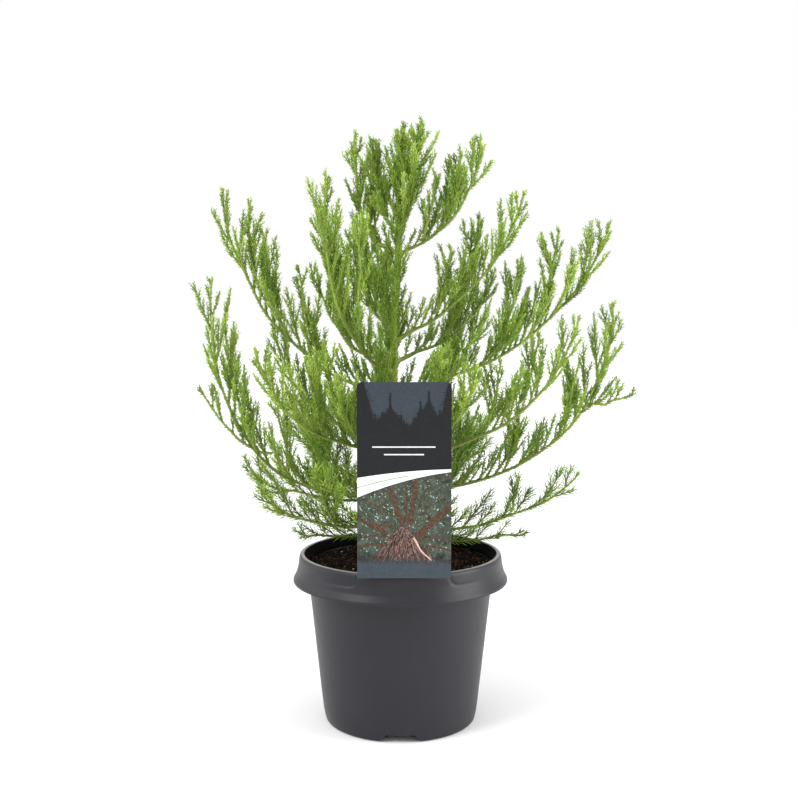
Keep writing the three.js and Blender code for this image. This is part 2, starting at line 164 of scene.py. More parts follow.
def joined(shapes):
    """Several shapes of one kind as one: each counts its corners on from those before it."""
    shift = np.cumsum([0] + [len(points) for points, _ in shapes])
    faces = [np.concatenate([f + s for f, s in zip(kind, shift)])
             for kind in zip(*[faces for _, faces in shapes])]
    return np.vstack([points for points, _ in shapes]), faces


def ring_faces(rows, cols, wrap=True):
    """Quads between neighbouring rings of a grid, the last column joined to the first."""
    r, c = np.meshgrid(np.arange(rows - 1), np.arange(cols if wrap else cols - 1), indexing="ij")
    a = r * cols + c
    b = r * cols + (c + 1) % cols
    return np.stack([a, b, b + cols, a + cols], -1).reshape(-1, 4)


def end_fans(rows, cols, foot, tip):
    """Triangles from the point `foot` to a grid's first ring, and from `tip` to its last."""
    k = np.arange(cols)
    after = (k + 1) % cols
    last = (rows - 1) * cols
    return [np.stack([np.full(cols, foot), after, k], -1),
            np.stack([np.full(cols, tip), last + k, last + after], -1)]


def turned(profile, turns, relief=None):
    """A profile of (radius, height) carried round the Z axis.

    Point(k, a) = (r_k cos a, r_k sin a, z_k); relief(r, z, a), if given, moves r and z. A
    profile that starts and ends on the axis is closed by fans, any other closes on itself.
    """
    profile = np.asarray(profile, float)
    is_ring = profile[0, 0] > 0
    rings = profile if is_ring else profile[1:-1]
    r = np.repeat(rings[:, :1], turns, 1)
    z = np.repeat(rings[:, 1:], turns, 1)
    a = np.repeat(np.linspace(0, TURN, turns, endpoint=False)[None], len(rings), 0)
    if relief:
        r, z = relief(r, z, a)
    points = np.stack([r * np.cos(a), r * np.sin(a), z], -1).reshape(-1, 3)
    count = len(points)
    if is_ring:
        return points, [ring_faces(len(rings) + 1, turns) % count]
    points = np.vstack([points, [0, 0, profile[0, 1]], [0, 0, profile[-1, 1]]])
    return points, [ring_faces(len(rings), turns), *end_fans(len(rings), turns, count, count + 1)]


def waves(*coordinates, seed, count=6, low=1.0, high=6.0):
    """Smooth unevenness between about -1 and 1: a sum of sine waves with seeded directions."""
    own = np.random.default_rng(seed)
    total = 0
    for _ in range(count):
        phase = own.uniform(0, TURN)
        total = total + np.sin(phase + sum(
            c * own.uniform(low, high) * own.choice([-1, 1]) for c in coordinates))
    return total / math.sqrt(count)


def smoothstep(x):
    """3x^2 - 2x^3 between 0 and 1."""
    x = np.clip(x, 0, 1)
    return x * x * (3 - 2 * x)


# ---------------- lines of growth

def stem_point(height):
    """The stem's middle line at some heights."""
    height = np.asarray(height, float)
    z, x, y = TRUNK_LINE.T
    return np.stack([np.interp(height, z, x), np.interp(height, z, y), height], -1)


def towards(compass, out, up):
    """An offset of `out` towards a compass angle in degrees, and `up` above it."""
    a = math.radians(compass)
    return np.stack([out * math.cos(a), out * math.sin(a), up], -1)


def bough_line(bough, t):
    """A bough's middle line. Outwards it runs as (1+b)t - b t^2, upwards as (1-b)t + b t^2."""
    t = np.asarray(t, float)
    bow = bough.bow
    out = bough.reach * ((1 + bow) * t - bow * t * t)
    up = bough.rise * ((1 - bow) * t + bow * t * t)
    return stem_point(bough.height) + towards(bough.compass, out, up)


def plume_line(bough, leave, turn, length, tilt, t):
    """A standing plume's middle line: outwards as the root of t, upwards as t."""
    tilt = math.radians(tilt)
    out = length * math.cos(tilt) * np.sqrt(t)
    up = length * math.sin(tilt) * t
    return bough_line(bough, leave) + towards(bough.compass + turn, out, up)


def outer_edge(line, start, wide):
    """The line moved to its foliage's lower side, by sin(pi s)^0.7 times part of its half width."""
    s = np.clip((np.linspace(0, 1, len(line)) - start * 0.6) / (1 - start * 0.6), 0, 1)
    along = unit(np.gradient(line, axis=0))
    side = unit(np.cross(along, UP + 0.001))
    below = -np.cross(side, along)
    return line + below * (0.42 * wide * np.sin(math.pi * s) ** 0.7)[:, None]


def kinked(line, size, seed):
    """The same line with small sideways kinks that fade out at its foot."""
    s = np.linspace(0, 1, len(line))
    sway = np.stack([waves(s, seed=seed + k, count=4, low=6, high=22) for k in range(3)], -1)
    return line + sway * size * np.minimum(1, 4 * s)[:, None]


def even(line, count):
    """The line's points spread evenly along its length, and that length."""
    step = np.linalg.norm(np.diff(line, axis=0), axis=1)
    run = np.concatenate([[0], np.cumsum(step)])
    want = np.linspace(0, run[-1], count)
    return np.stack([np.interp(want, run, line[:, k]) for k in range(3)], -1), run[-1]


def sample(paths, which, at):
    """Points and directions on a batch of paths, at places from 0 to 1 along each."""
    last = paths.shape[1] - 1
    x = np.clip(at, 0, 1) * last
    k = np.minimum(x.astype(int), last - 1)
    f = (x - k)[:, None]
    a, b = paths[which, k], paths[which, k + 1]
    before = paths[which, np.maximum(k - 1, 0)]
    after = paths[which, np.minimum(k + 2, last)]
    along = unit((b - before) * (1 - f) + (after - a) * f)
    return a * (1 - f) + b * f, along


def around(along, compass):
    """Two directions across each path: a level one and the one that looks up from it.

    Where a path stands upright, the level one follows the compass angle (in radians) given for it.
    """
    side = np.cross(along, UP + 0.001)
    weak = np.linalg.norm(side, axis=1) < 0.12
    level = np.stack([np.cos(compass), np.sin(compass), 0 * compass], -1)
    side = np.where(weak[:, None], level - along * (level * along).sum(1, keepdims=True), side)
    side = unit(side)
    return side, np.cross(side, along)


def across_at(along, compass, roll):
    """The direction across each path at an angle round it: cos x level + sin x the upward one."""
    side, top = around(along, compass)
    return np.cos(roll)[:, None] * side + np.sin(roll)[:, None] * top


def grow(paths, which, at, roll, angle, length, lift, forward, fan, count):
    """New shoots off a batch of paths.

    Each starts at `at` on its parent, leaves it by `angle` on the side `roll` (a quarter turn is
    upwards), then swings towards a blend of its parent's direction and the sky. Point k+1 is
    point k plus the length over the count along the blended direction.
    """
    start, along = sample(paths, which, at)
    n = len(which)
    out = across_at(along, dice.uniform(0, 6.28, n), roll)
    first = np.cos(angle)[:, None] * along + np.sin(angle)[:, None] * out
    goal = unit(along * forward + UP * lift + out * fan)
    line = [start]
    bend = dice.normal(0, 0.035, (n, 3))
    for k in range(1, count):
        w = 0.8 * math.sqrt(k / (count - 1))
        way = unit(first * (1 - w) + goal * w + bend * math.sin(2.2 * k))
        line.append(line[-1] + way * (length / (count - 1))[:, None])
    return np.stack(line, 1)


def tubes(paths, radius, sides, flat_end=0.35):
    """Tapering tubes along a batch of paths, both ends closed by a fan.

    Point(i, k, j) = path(i, k) + radius(i, k) (cos a_j side + sin a_j top).
    """
    n, k = paths.shape[:2]
    along = unit(np.gradient(paths, axis=1))
    axis = np.argmin(np.abs(along.mean(1)), 1)
    side = unit(np.cross(along, np.eye(3)[axis][:, None, :]))
    top = np.cross(side, along)
    a = np.linspace(0, TURN, sides, endpoint=False)[:, None]
    ring = np.cos(a) * side[:, :, None, :] + np.sin(a) * top[:, :, None, :]
    rings = paths[:, :, None, :] + ring * radius[:, :, None, None]
    ends = np.stack([
        paths[:, 0] - along[:, 0] * radius[:, :1] * flat_end,
        paths[:, -1] + along[:, -1] * radius[:, -1:] * 1.5], 1)
    points = np.concatenate([rings.reshape(n, -1, 3), ends], 1)
    fans = np.concatenate(end_fans(k, sides, k * sides, k * sides + 1))
    offset = (np.arange(n) * points.shape[1])[:, None, None]
    return points.reshape(-1, 3), [(ring_faces(k, sides) + offset).reshape(-1, 4)[:, ::-1],
                                   (fans + offset).reshape(-1, 3)[:, ::-1]]


# Templates, 1 long and 1 wide: (along, across, off the twig).
# One leaf: an awl, pointed at both ends.
LEAF = np.array([[0, 0, -0.15], [0.38, -0.5, 0.3], [0.38, 0.5, 0.3], [0.4, 0, -0.35], [1, 0, 0.3]])
LEAF_FACES = np.array([[0, 2, 1], [0, 3, 2], [0, 1, 3], [1, 2, 4], [2, 3, 4], [3, 1, 4]])
# One old needle, a thin three-sided spike, and one printed fleck, the same but flatter.
NEEDLE = np.array([[0, -0.5, 0], [0, 0.5, 0], [0, 0, 0.8], [1, 0, 0.1]])
FLECK = np.array([[0, -0.5, 0], [0, 0.5, 0], [0.3, 0, 1], [1, 0, 0]])
SPIKE_FACES = np.array([[0, 1, 2], [0, 3, 1], [1, 3, 2], [2, 3, 0]])


def leaf_places(paths, gap, first=0.0, last=1.0):
    """Which path and where along it, for leaves a `gap` apart on every path."""
    length = np.linalg.norm(np.diff(paths, axis=1), axis=2).sum(1)
    count = np.maximum(2, np.round(length * (last - first) / gap)).astype(int)
    which = np.repeat(np.arange(len(paths)), count)
    order = np.arange(len(which)) - np.repeat(np.cumsum(count) - count, count)
    at = first + (last - first) * (order + 0.6) / count[which]
    return which, at, order


def leaves(paths, which, at, order, length, width, spread, skin):
    """The foot, axes, length and width of leaves placed round the twigs by the golden angle.

    Each leans off its twig by `spread`, and its foot stands `skin` off the twig's middle line.
    """
    foot, along = sample(paths, which, at)
    out = across_at(along, np.zeros(len(which)), order * GOLDEN + which * 1.7)
    lean = unit(np.cos(spread)[:, None] * along + np.sin(spread)[:, None] * out)
    across = unit(np.cross(along, out))
    off = np.cross(lean, across)
    off *= np.sign((off * out).sum(1, keepdims=True))
    return foot + out * skin[:, None], lean, across, off, length, width


def leaf_shape(parts, template, faces, thick=None):
    """Leaves as one shape: template point (x, y, z) goes to foot + x l L + y w W + z t N.

    L leans off the twig, W runs round it and N looks away from it; t is the width if not given.
    """
    foot, lean, across, off, length, width = parts
    sizes = (length, width, width if thick is None else np.full(len(foot), thick))
    points = foot[:, None]
    for axis, column, size in zip((lean, across, off), template.T, sizes):
        points = points + axis[:, None] * (column * size[:, None])[..., None]
    shift = (np.arange(len(foot)) * len(template))[:, None, None]
    turned_out = (np.cross(across, lean) * off).sum(1) > 0
    own = np.where(turned_out[:, None, None], faces, faces[:, ::-1])
    return points.reshape(-1, 3), [(own + shift).reshape(-1, 3)]


# ---------------- materials

def linear(colour):
    """A colour given as 0 to 255 shades, as the shader's linear values."""
    c = np.array(colour) / 255.0
    c = np.where(c <= 0.04045, c / 12.92, ((c + 0.055) / 1.055) ** 2.4)
    return (*c.tolist(), 1.0)


def node(tree, kind, inputs=None, **settings):
    """A shader node with its settings, and its inputs as values or links."""
    made = tree.nodes.new(kind)
    for key, value in settings.items():
        setattr(made, key, value)
    for key, value in (inputs or {}).items():
        if isinstance(value, bpy.types.NodeSocket):
            tree.links.new(value, made.inputs[key])
        else:
            made.inputs[key].default_value = value
    return made


def mix(tree, factor, a, b, blend="MIX"):
    """A colour mix of two sockets or colours."""
    return node(tree, "ShaderNodeMix", {0: factor, 6: a, 7: b}, data_type="RGBA",
                blend_type=blend).outputs[2]


def calc(tree, operation, a, b=0.0, c=0.0, clamp=False):
    """One step of arithmetic on values."""
    return node(tree, "ShaderNodeMath", {0: a, 1: b, 2: c}, operation=operation,
                use_clamp=clamp).outputs[0]


def place(tree):
    """The point on the object, in its own coordinates."""
    return node(tree, "ShaderNodeTexCoord").outputs["Object"]


def noise(tree, vector, scale, detail, roughness=0.5):
    """Soft noise at a scale."""
    return node(tree, "ShaderNodeTexNoise", {"Vector": vector, "Scale": scale, "Detail": detail,
                                             "Roughness": roughness}).outputs["Fac"]


def by_height(tree, low, high):
    """0 below one height and 1 above another, in metres, and even in between."""
    height = node(tree, "ShaderNodeSeparateXYZ", {"Vector": place(tree)}).outputs["Z"]
    return node(tree, "ShaderNodeMapRange", {"Value": height, "From Min": low,
                                             "From Max": high}).outputs["Result"]


def group(name, inputs, outputs):
    """A shader group with named sockets: returns (tree, its inputs' sockets, its outputs')."""
    tree = bpy.data.node_groups.new(name, "ShaderNodeTree")
    kinds = {"value": "NodeSocketFloat", "colour": "NodeSocketColor"}
    for label, kind, default in inputs:
        made = tree.interface.new_socket(name=label, in_out="INPUT", socket_type=kinds[kind])
        if default is not None:
            made.default_value = default
    for label, kind in outputs:
        tree.interface.new_socket(name=label, in_out="OUTPUT", socket_type=kinds[kind])
    return tree, tree.nodes.new("NodeGroupInput").outputs, tree.nodes.new("NodeGroupOutput").inputs


def mottle_group():
    """Soft patches of a second colour over a first, with a finer grain on top."""
    tree, given, result = group(
        "mottle",
        [("Base", "colour", None), ("Patch", "colour", None), ("Scale", "value", 60.0),
         ("Amount", "value", 0.5), ("Grain", "value", 900.0)],
        [("Color", "colour"), ("Height", "value")])
    here = place(tree)
    wide = noise(tree, here, given["Scale"], 4.0, 0.6)
    fine = noise(tree, here, given["Grain"], 2.0)
    patch = calc(tree, "MULTIPLY_ADD", wide, 2.6, -0.8)
    patch = calc(tree, "MULTIPLY", patch, given["Amount"], clamp=True)
    colour = mix(tree, patch, given["Base"], given["Patch"])
    speck = calc(tree, "MULTIPLY_ADD", fine, 0.5, 0.75)
    grey = node(tree, "ShaderNodeCombineColor", {"Red": speck, "Green": speck, "Blue": speck})
    tree.links.new(mix(tree, 1.0, colour, grey.outputs["Color"], "MULTIPLY"), result["Color"])
    tree.links.new(calc(tree, "ADD", wide, fine), result["Height"])
    return tree


def dust_group():
    """Pale dust that gathers in soft clouds, and scuffs drawn out upwards that change the gloss."""
    tree, given, result = group(
        "dust",
        [("Color", "colour", None), ("Dust", "colour", None), ("Amount", "value", 0.2),
         ("Roughness", "value", 0.4)],
        [("Color", "colour"), ("Roughness", "value")])
    here = place(tree)
    cloud = noise(tree, here, 22.0, 6.0, 0.65)
    streak = node(tree, "ShaderNodeMapping", {"Vector": here, "Scale": (900.0, 900.0, 60.0)})
    scuff = noise(tree, streak.outputs["Vector"], 1.0, 3.0)
    veil = calc(tree, "MULTIPLY_ADD", cloud, 1.6, -0.45)
    veil = calc(tree, "MULTIPLY", veil, given["Amount"], clamp=True)
    tree.links.new(mix(tree, veil, given["Color"], given["Dust"]), result["Color"])
    rough = calc(tree, "MULTIPLY_ADD", scuff, 0.16, given["Roughness"])
    tree.links.new(calc(tree, "ADD", rough, veil, clamp=True), result["Roughness"])
    return tree


MOTTLE = mottle_group()
DUST = dust_group()


def plain_material(name, roughness, gloss=0.5):
    """A material with its shader: returns (material, tree, shader)."""
    material = bpy.data.materials.new(name)
    material.use_nodes = True
    shader = material.node_tree.nodes["Principled BSDF"]
    shader.inputs["Roughness"].default_value = roughness
    shader.inputs["Specular IOR Level"].default_value = gloss
    return material, material.node_tree, shader


def mottle(tree, base, patch, scale, amount, grain):
    """The mottle group placed in a material: returns its colour and its height."""
    return node(tree, "ShaderNodeGroup", {
        "Base": linear(base), "Patch": linear(patch), "Scale": scale, "Amount": amount,
        "Grain": grain}, node_tree=MOTTLE).outputs


def bump(tree, shader, height, strength, distance):
    """Relief in the shading from a height that varies over the surface."""
    made = node(tree, "ShaderNodeBump", {"Height": height, "Strength": strength,
                                         "Distance": distance})
    tree.links.new(made.outputs["Normal"], shader.inputs["Normal"])


def mottled(name, base, patch, scale, amount, grain, roughness, gloss, relief, depth):
    """A material in two mottled colours with fine relief."""
    material, tree, shader = plain_material(name, roughness, gloss)
    look = mottle(tree, base, patch, scale, amount, grain)
    tree.links.new(look["Color"], shader.inputs["Base Color"])
    bump(tree, shader, look["Height"], relief, depth)
    return material


def leaf_material(name, base, patch):
    """Matt green leaf with paler and darker patches and a light waxy bloom."""
    return mottled(name, base, patch, scale=55.0, amount=0.6, grain=700.0, roughness=0.5,
                   gloss=0.24, relief=0.15, depth=0.0002)


def earth_material(name, base, patch, roughness=0.9):
    """Crumbly matt earth: two browns in fine patches with deep relief."""
    return mottled(name, base, patch, scale=420.0, amount=0.9, grain=1600.0, roughness=roughness,
                   gloss=0.08, relief=0.9, depth=0.0008)


def print_material(name, base, patch, scale=90.0, amount=0.35, grain=500.0):
    """Printed card under a thin satin varnish."""
    return mottled(name, base, patch, scale, amount, grain, roughness=0.42, gloss=0.18,
                   relief=0.05, depth=0.0001)


def bark_material(name, young, old, low, high):
    """Green young bark that browns towards the soil, between two heights in metres."""
    material, tree, shader = plain_material(name, 0.62, 0.3)
    green = mottle(tree, young, [c * 0.72 for c in young], 160.0, 0.8, 1500.0)
    brown = mottle(tree, old, [c * 0.62 for c in old], 240.0, 0.9, 1700.0)
    colour = mix(tree, by_height(tree, low, high), brown["Color"], green["Color"])
    tree.links.new(colour, shader.inputs["Base Color"])
    bump(tree, shader, green["Height"], 0.5, 0.0004)
    return material


def plastic_material(name, colour, dust, amount, roughness):
    """Moulded plastic: a dusty colour, uneven gloss and a fine matt grain."""
    material, tree, shader = plain_material(name, roughness, 0.36)
    look = node(tree, "ShaderNodeGroup", {
        "Color": linear(colour), "Dust": linear(dust), "Amount": amount,
        "Roughness": roughness}, node_tree=DUST).outputs
    tree.links.new(look["Color"], shader.inputs["Base Color"])
    tree.links.new(look["Roughness"], shader.inputs["Roughness"])
    bump(tree, shader, noise(tree, place(tree), 2600.0, 2.0), 0.1, 0.0002)
    return material


def painted_lip_highlight(material, colour, low, high):
    """Paints a highlight along the lip's top edge: paler, more and more between two heights."""
    tree = material.node_tree
    base = tree.nodes["Principled BSDF"].inputs["Base Color"]
    plain = base.links[0].from_socket
    tree.links.new(mix(tree, by_height(tree, low, high), plain, linear(colour)), base)


# Four tones of one leaf green; a leaf takes one by its tone, which is partly its own and partly
# painted light and shade from where it sits in the crown.
LEAF_MATERIALS = {
    "deep": leaf_material("leaf_deep", (94, 128, 39), (75, 108, 30)),
    "green": leaf_material("leaf_green", (126, 162, 53), (102, 142, 41)),
    "fresh": leaf_material("leaf_fresh", (156, 188, 73), (130, 168, 54)),
    "bright": leaf_material("leaf_bright", (182, 208, 98), (158, 192, 76)),
}
TONE_STEPS = [0.36, 0.56, 0.8]  # the tones at which a leaf takes the next brighter material
TWIG = bark_material("twig_bark", (150, 166, 74), (128, 128, 66), 0.17, 0.24)
BARK = bark_material("stem_bark", (162, 172, 66), (112, 92, 58), 0.2, 0.33)
NEEDLES = leaf_material("old_needles", (124, 146, 74), (104, 124, 62))


# ---------------- pot

POT_TURNS = 480
CHANNEL_HEIGHT, CHANNEL_INNER = 7.0, 26.0
CHANNEL_HALF_TOP, CHANNEL_HALF_BOTTOM = 11.0, 18.6
FLOOR_THICK = 1.6
DRAIN_RADIUS, DRAIN_AT, DRAIN_LOW, DRAIN_HIGH = 4.5, 50.0, 4.0, 12.0
DRAIN_TURN = 0.04  # radians that the drain holes' corners stand off the pot's own grid
SKIRT_RADIUS, SKIRT_LOW = 92.0, 126.0
PANEL_MIDDLE, PANEL_EDGE, PANEL_LOW, PANEL_CORNER = 3.0, 40.0, 138.5, 9.0
INSIDE = 0.72  # rings past this share of the profile are inside the pot
# (radius, height, longest step on the way to the next point)
POT_PROFILE = [
    (0, 0, 3), (65, 0, 1), (66.7, 1, 1), (67.5, 3.4, 1.2), (68.6, 9, 9), (81.5, 125.4, 4),
    (83.4, 143, 1.5), (86.4, 146, 1.5), (88.4, 143, 3), (90.6, 134, 3), (93.7, 125.4, 0.5),
    (95.2, 125.4, 0.5), (95.2, 127.2, 0.8), (92.4, 133, 0.8), (90.6, 140, 0.8), (89.8, 147, 0.6),
    (89, 149.3, 0.5), (87.6, 150, 0.5), (85.6, 150, 0.6), (84.6, 147.6, 1), (81.9, 143, 4),
    (80, 125.4, 10), (67.1, 9.2, 2), (65.6, 5, 2), (60.6, 1.6, 3), (0, 1.6, 1),
]


def stepped(profile):
    """The profile with each stretch cut into steps no longer than its third number, then eased."""
    line = []
    for (r0, z0, step), (r1, z1, _) in zip(profile, profile[1:]):
        count = max(1, math.ceil(math.hypot(r1 - r0, z1 - z0) / step))
        t = np.arange(count)[:, None] / count
        line.append(np.array([[r0, z0]]) * (1 - t) + np.array([[r1, z1]]) * t)
    line = np.vstack(line + [[profile[-1][:2]]])
    eased = line.copy()
    eased[1:-1] = 0.25 * line[:-2] + 0.5 * line[1:-1] + 0.25 * line[2:]
    return eased


def channel_roof(x, y):
    """Height of the four drainage channels' roof, 0 away from them."""
    across = np.minimum(np.abs(x), np.abs(y))
    along = np.maximum(np.abs(x), np.abs(y))
    side = smoothstep((CHANNEL_HALF_BOTTOM - across) / (CHANNEL_HALF_BOTTOM - CHANNEL_HALF_TOP))
    return CHANNEL_HEIGHT * side * smoothstep((along - CHANNEL_INNER + 1) / 2)


def wall_wander(a, z):
    """How far the wall strays at an angle and height, in millimetres."""
    return 0.16 * waves(2 * np.cos(a), 2 * np.sin(a), z * 0.02, seed=21, count=5, low=1, high=2)


def pot_relief(r, z, a):
    """Lifts the floor over the channels, presses two panel outlines into the skirt, and lets
    the wall wander by a fraction of a millimetre."""
    roof = channel_roof(r * np.cos(a), r * np.sin(a))
    inner = np.arange(len(r))[:, None] > len(r) * INSIDE
    z = np.where(z < 40, np.maximum(z, np.where(inner, roof + FLOOR_THICK, roof)), z)
    # The panels' outline: a rounded corner in arc length s and height z.
    s = np.abs((a - 1.5 * math.pi) * SKIRT_RADIUS - PANEL_MIDDLE)
    ds = np.maximum(PANEL_EDGE + PANEL_CORNER - s, 0)
    dz = np.maximum(PANEL_LOW + PANEL_CORNER - z, 0)
    edge = np.abs(np.hypot(ds, dz) - PANEL_CORNER)
    fade = smoothstep((82 - s) / 25) * smoothstep((149 - z) / 3)
    press = 0.45 * np.exp(-(edge / 1.1) ** 2) * fade * (z > SKIRT_LOW) * (r > 88) * ~inner
    return r - press + wall_wander(a, z) * (z > 9), z


def drain_cutter(k):
    """A closed upright cylinder where one of the four drain holes goes."""
    points, faces = turned([(0, DRAIN_LOW), (DRAIN_RADIUS, DRAIN_LOW), (DRAIN_RADIUS, DRAIN_HIGH),
                            (0, DRAIN_HIGH)], 48)
    c, s = math.cos(DRAIN_TURN), math.sin(DRAIN_TURN)
    points = points @ np.array([[c, s, 0], [-s, c, 0], [0, 0, 1]])
    a = k * math.pi / 2
    middle = np.array([DRAIN_AT * math.cos(a), DRAIN_AT * math.sin(a), 0])
    return make_piece(f"drain_{k}", (points + middle, faces))


def cut(obj, cutters):
    """obj with the cutters' shapes taken away, kept as plain mesh; the cutters are removed."""
    for cutter in cutters:
        step = obj.modifiers.new("cut", "BOOLEAN")
        step.operation = "DIFFERENCE"
        step.solver = "EXACT"
        step.object = cutter
    graph = bpy.context.evaluated_depsgraph_get()
    made = bpy.data.meshes.new_from_object(obj.evaluated_get(graph))
    obj.modifiers.clear()
    obj.data = made
    for cutter in cutters:
        bpy.data.objects.remove(cutter)


POT_PLASTIC = plastic_material("pot_plastic", (26, 26, 33), (64, 63, 67), 0.14, 0.3)
# A painted highlight: a pale band along the top edge of the lip.
painted_lip_highlight(POT_PLASTIC, (150, 148, 152), 0.1494, 0.15)
pot = make_piece("pot_shell", turned(stepped(POT_PROFILE), POT_TURNS, pot_relief), POT_PLASTIC,
                 "pot_plastic", ["pot"])
cut(pot, [drain_cutter(k) for k in range(4)])
pot.data.set_sharp_from_angle(angle=math.radians(38))


# ---------------- soil

SOIL_TURNS = 240
SOIL_RADIUS = 81.2
SOIL_PROFILE = [
    (0, SOIL_TOP + SOIL_DOME, 1.1), (12, SOIL_TOP + SOIL_DOME, 1.1), (40, SOIL_TOP + 0.8, 1.1),
    (SOIL_RADIUS, SOIL_TOP, 4), (79.6, 125.4, 12), (66.7, 9.5, 3), (60.2, 2.0, 5), (0, 2.0, 1),
]
# A near-black earthy sheet on the inside of the wall, above the soil and up to the lip: painted
# shade inside the rim.
SHADE_SHEET_PROFILE = [(81.45, 140.5), (81.7, 143), (84.3, 147.6), (85.25, 149.4), (84.9, 149.5),
                (83.8, 147.7), (81.3, 143.1), (81.1, 140.5)]
# Loose bits: piece, material, count, least and greatest size, stretch, seed, colours, roughness.
LOOSE_BITS = [
    ("soil_crumbs_dark", "crumbs_dark", 2600, 0.8, 4.6, (1.3, 1, 0.8), 41,
     (31, 22, 17), (15, 11, 9), 0.9),
    ("soil_crumbs_brown", "crumbs_brown", 1300, 0.7, 3.4, (1.5, 1, 0.7), 42,
     (86, 60, 44), (48, 34, 25), 0.9),
    ("soil_fibres", "fibres_brown", 420, 0.5, 1.1, (7, 1, 1), 43,
     (112, 84, 60), (74, 54, 40), 0.9),
    ("soil_specks", "specks_pale", 260, 0.5, 1.7, (1.3, 1, 0.9), 44,
     (188, 172, 150), (150, 132, 108), 0.8),
]
# A twelve-cornered lump: an icosahedron on three golden rectangles.
RATIO = (1 + math.sqrt(5)) / 2
LUMP = unit(np.array([
    [-1, RATIO, 0], [1, RATIO, 0], [-1, -RATIO, 0], [1, -RATIO, 0],
    [0, -1, RATIO], [0, 1, RATIO], [0, -1, -RATIO], [0, 1, -RATIO],
    [RATIO, 0, -1], [RATIO, 0, 1], [-RATIO, 0, -1], [-RATIO, 0, 1]]))
LUMP_FACES = np.array([
    [0, 11, 5], [0, 5, 1], [0, 1, 7], [0, 7, 10], [0, 10, 11], [1, 5, 9], [5, 11, 4], [11, 10, 2],
    [10, 7, 6], [7, 1, 8], [3, 9, 4], [3, 4, 2], [3, 2, 6], [3, 6, 8], [3, 8, 9], [4, 9, 5],
    [2, 4, 11], [6, 2, 10], [8, 6, 7], [9, 8, 1]])


def soil_height(x, y):
    """Lumps and hollows of the soil's face, in millimetres."""
    lump = waves(x * 0.09, y * 0.09, seed=31, count=7, low=0.5, high=1.6)
    small = waves(x * 0.42, y * 0.42, seed=32, count=8, low=0.6, high=1.8)
    return 0.9 * lump + 0.55 * small - 0.6


def soil_relief(r, z, a):
    """The soil's rough top, and its floor held up over the channels."""
    x, y = r * np.cos(a), r * np.sin(a)
    rough = soil_height(x, y) * smoothstep((SOIL_RADIUS - r) / 4)
    z = np.where(z > SOIL_TOP - 0.5, z + rough, z)
    return r, np.where(z < 40, np.maximum(z, channel_roof(x, y) + FLOOR_THICK + 0.4), z)


def shade_sheet_relief(r, z, a):
    """The painted shade sheet follows the wall, and its upper edge is ragged."""
    ragged = 0.25 * waves(9 * np.cos(a), 9 * np.sin(a), seed=33)
    return r + wall_wander(a, z), z + (z > 149) * ragged


def lumps(count, low, high, stretch, seed):
    """Loose bits on the soil: uneven lumps, each its own size, stretch and turn.

    Corner = centre + R (corner of the template x (1 + noise) x size x stretch).
    """
    own = np.random.default_rng(seed)
    radius = 80 * np.sqrt(own.random(count))
    angle = own.uniform(0, TURN, count)
    x, y = radius * np.cos(angle), radius * np.sin(angle)
    size = low + (high - low) * own.random(count) ** 2.2
    z = SOIL_TOP + SOIL_DOME * (1 - radius / 80) + soil_height(x, y) + 0.15 * size
    scale = size[:, None] * (1 + (np.array(stretch) - 1) * own.uniform(0.5, 1, (count, 1)))
    spin, _ = np.linalg.qr(own.normal(size=(count, 3, 3)))
    spin[np.linalg.det(spin) < 0, :, 0] *= -1
    flat = np.array([1, 1, 0.45]) if stretch[0] > 2 else 1
    corner = LUMP[None] * (1 + 0.28 * own.normal(size=(count, len(LUMP), 1))) * scale[:, None]
    corner = np.einsum("nij,nkj->nki", spin, corner) * 0.5 * flat
    points = np.stack([x, y, z], -1)[:, None] + corner
    faces = LUMP_FACES[None] + (np.arange(count) * len(LUMP))[:, None, None]
    return points.reshape(-1, 3), [faces.reshape(-1, 3)]


make_piece("soil_bed", turned(stepped(SOIL_PROFILE)[::-1], SOIL_TURNS, soil_relief),
           earth_material("soil_dark", (24, 17, 13), (11, 8, 6)), "soil", ["soil"])
# Painted shade: a near-black sheet over the inner wall between the soil and the lip.
make_piece("inner_wall_painted_shade", turned(SHADE_SHEET_PROFILE, SOIL_TURNS, shade_sheet_relief),
           earth_material("painted_shade_dark", (11, 9, 8), (6, 5, 5), 1.0), "soil")
for name, finish, count, low, high, stretch, seed, base, patch, roughness in LOOSE_BITS:
    make_piece(name, lumps(count, low, high, stretch, seed),
               earth_material(finish, base, patch, roughness), "soil", smooth=False)


# ---------------- label

PRINT_STEP = 0.05  # each printed layer stands this far in front of the one below
PRINT_DEPTH = 0.1  # and reaches this far into the card
CARD_EDGE = 0.16  # rounding of the card's edges
PICTURE_FOOT = 158.0
# Conifers in outline: middle, top, drop of the thin spire, slope of the sides.
OUTLINE_TREES = [(-33.0, 327.0, 4, 3.7), (-8.2, 299.4, 12, 0.8), (16.2, 293.7, 7, 1.6),
                 (22.8, 301.6, 8, 1.6), (42.0, 330.0, 4, 4.6), (-20.5, 282.0, 3, 1.2),
                 (-14.5, 285.0, 5, 1.6), (0.6, 283.0, 5, 1.6), (31.5, 286.0, 4, 1.8),
                 (10.5, 280.0, 4, 1.6)]
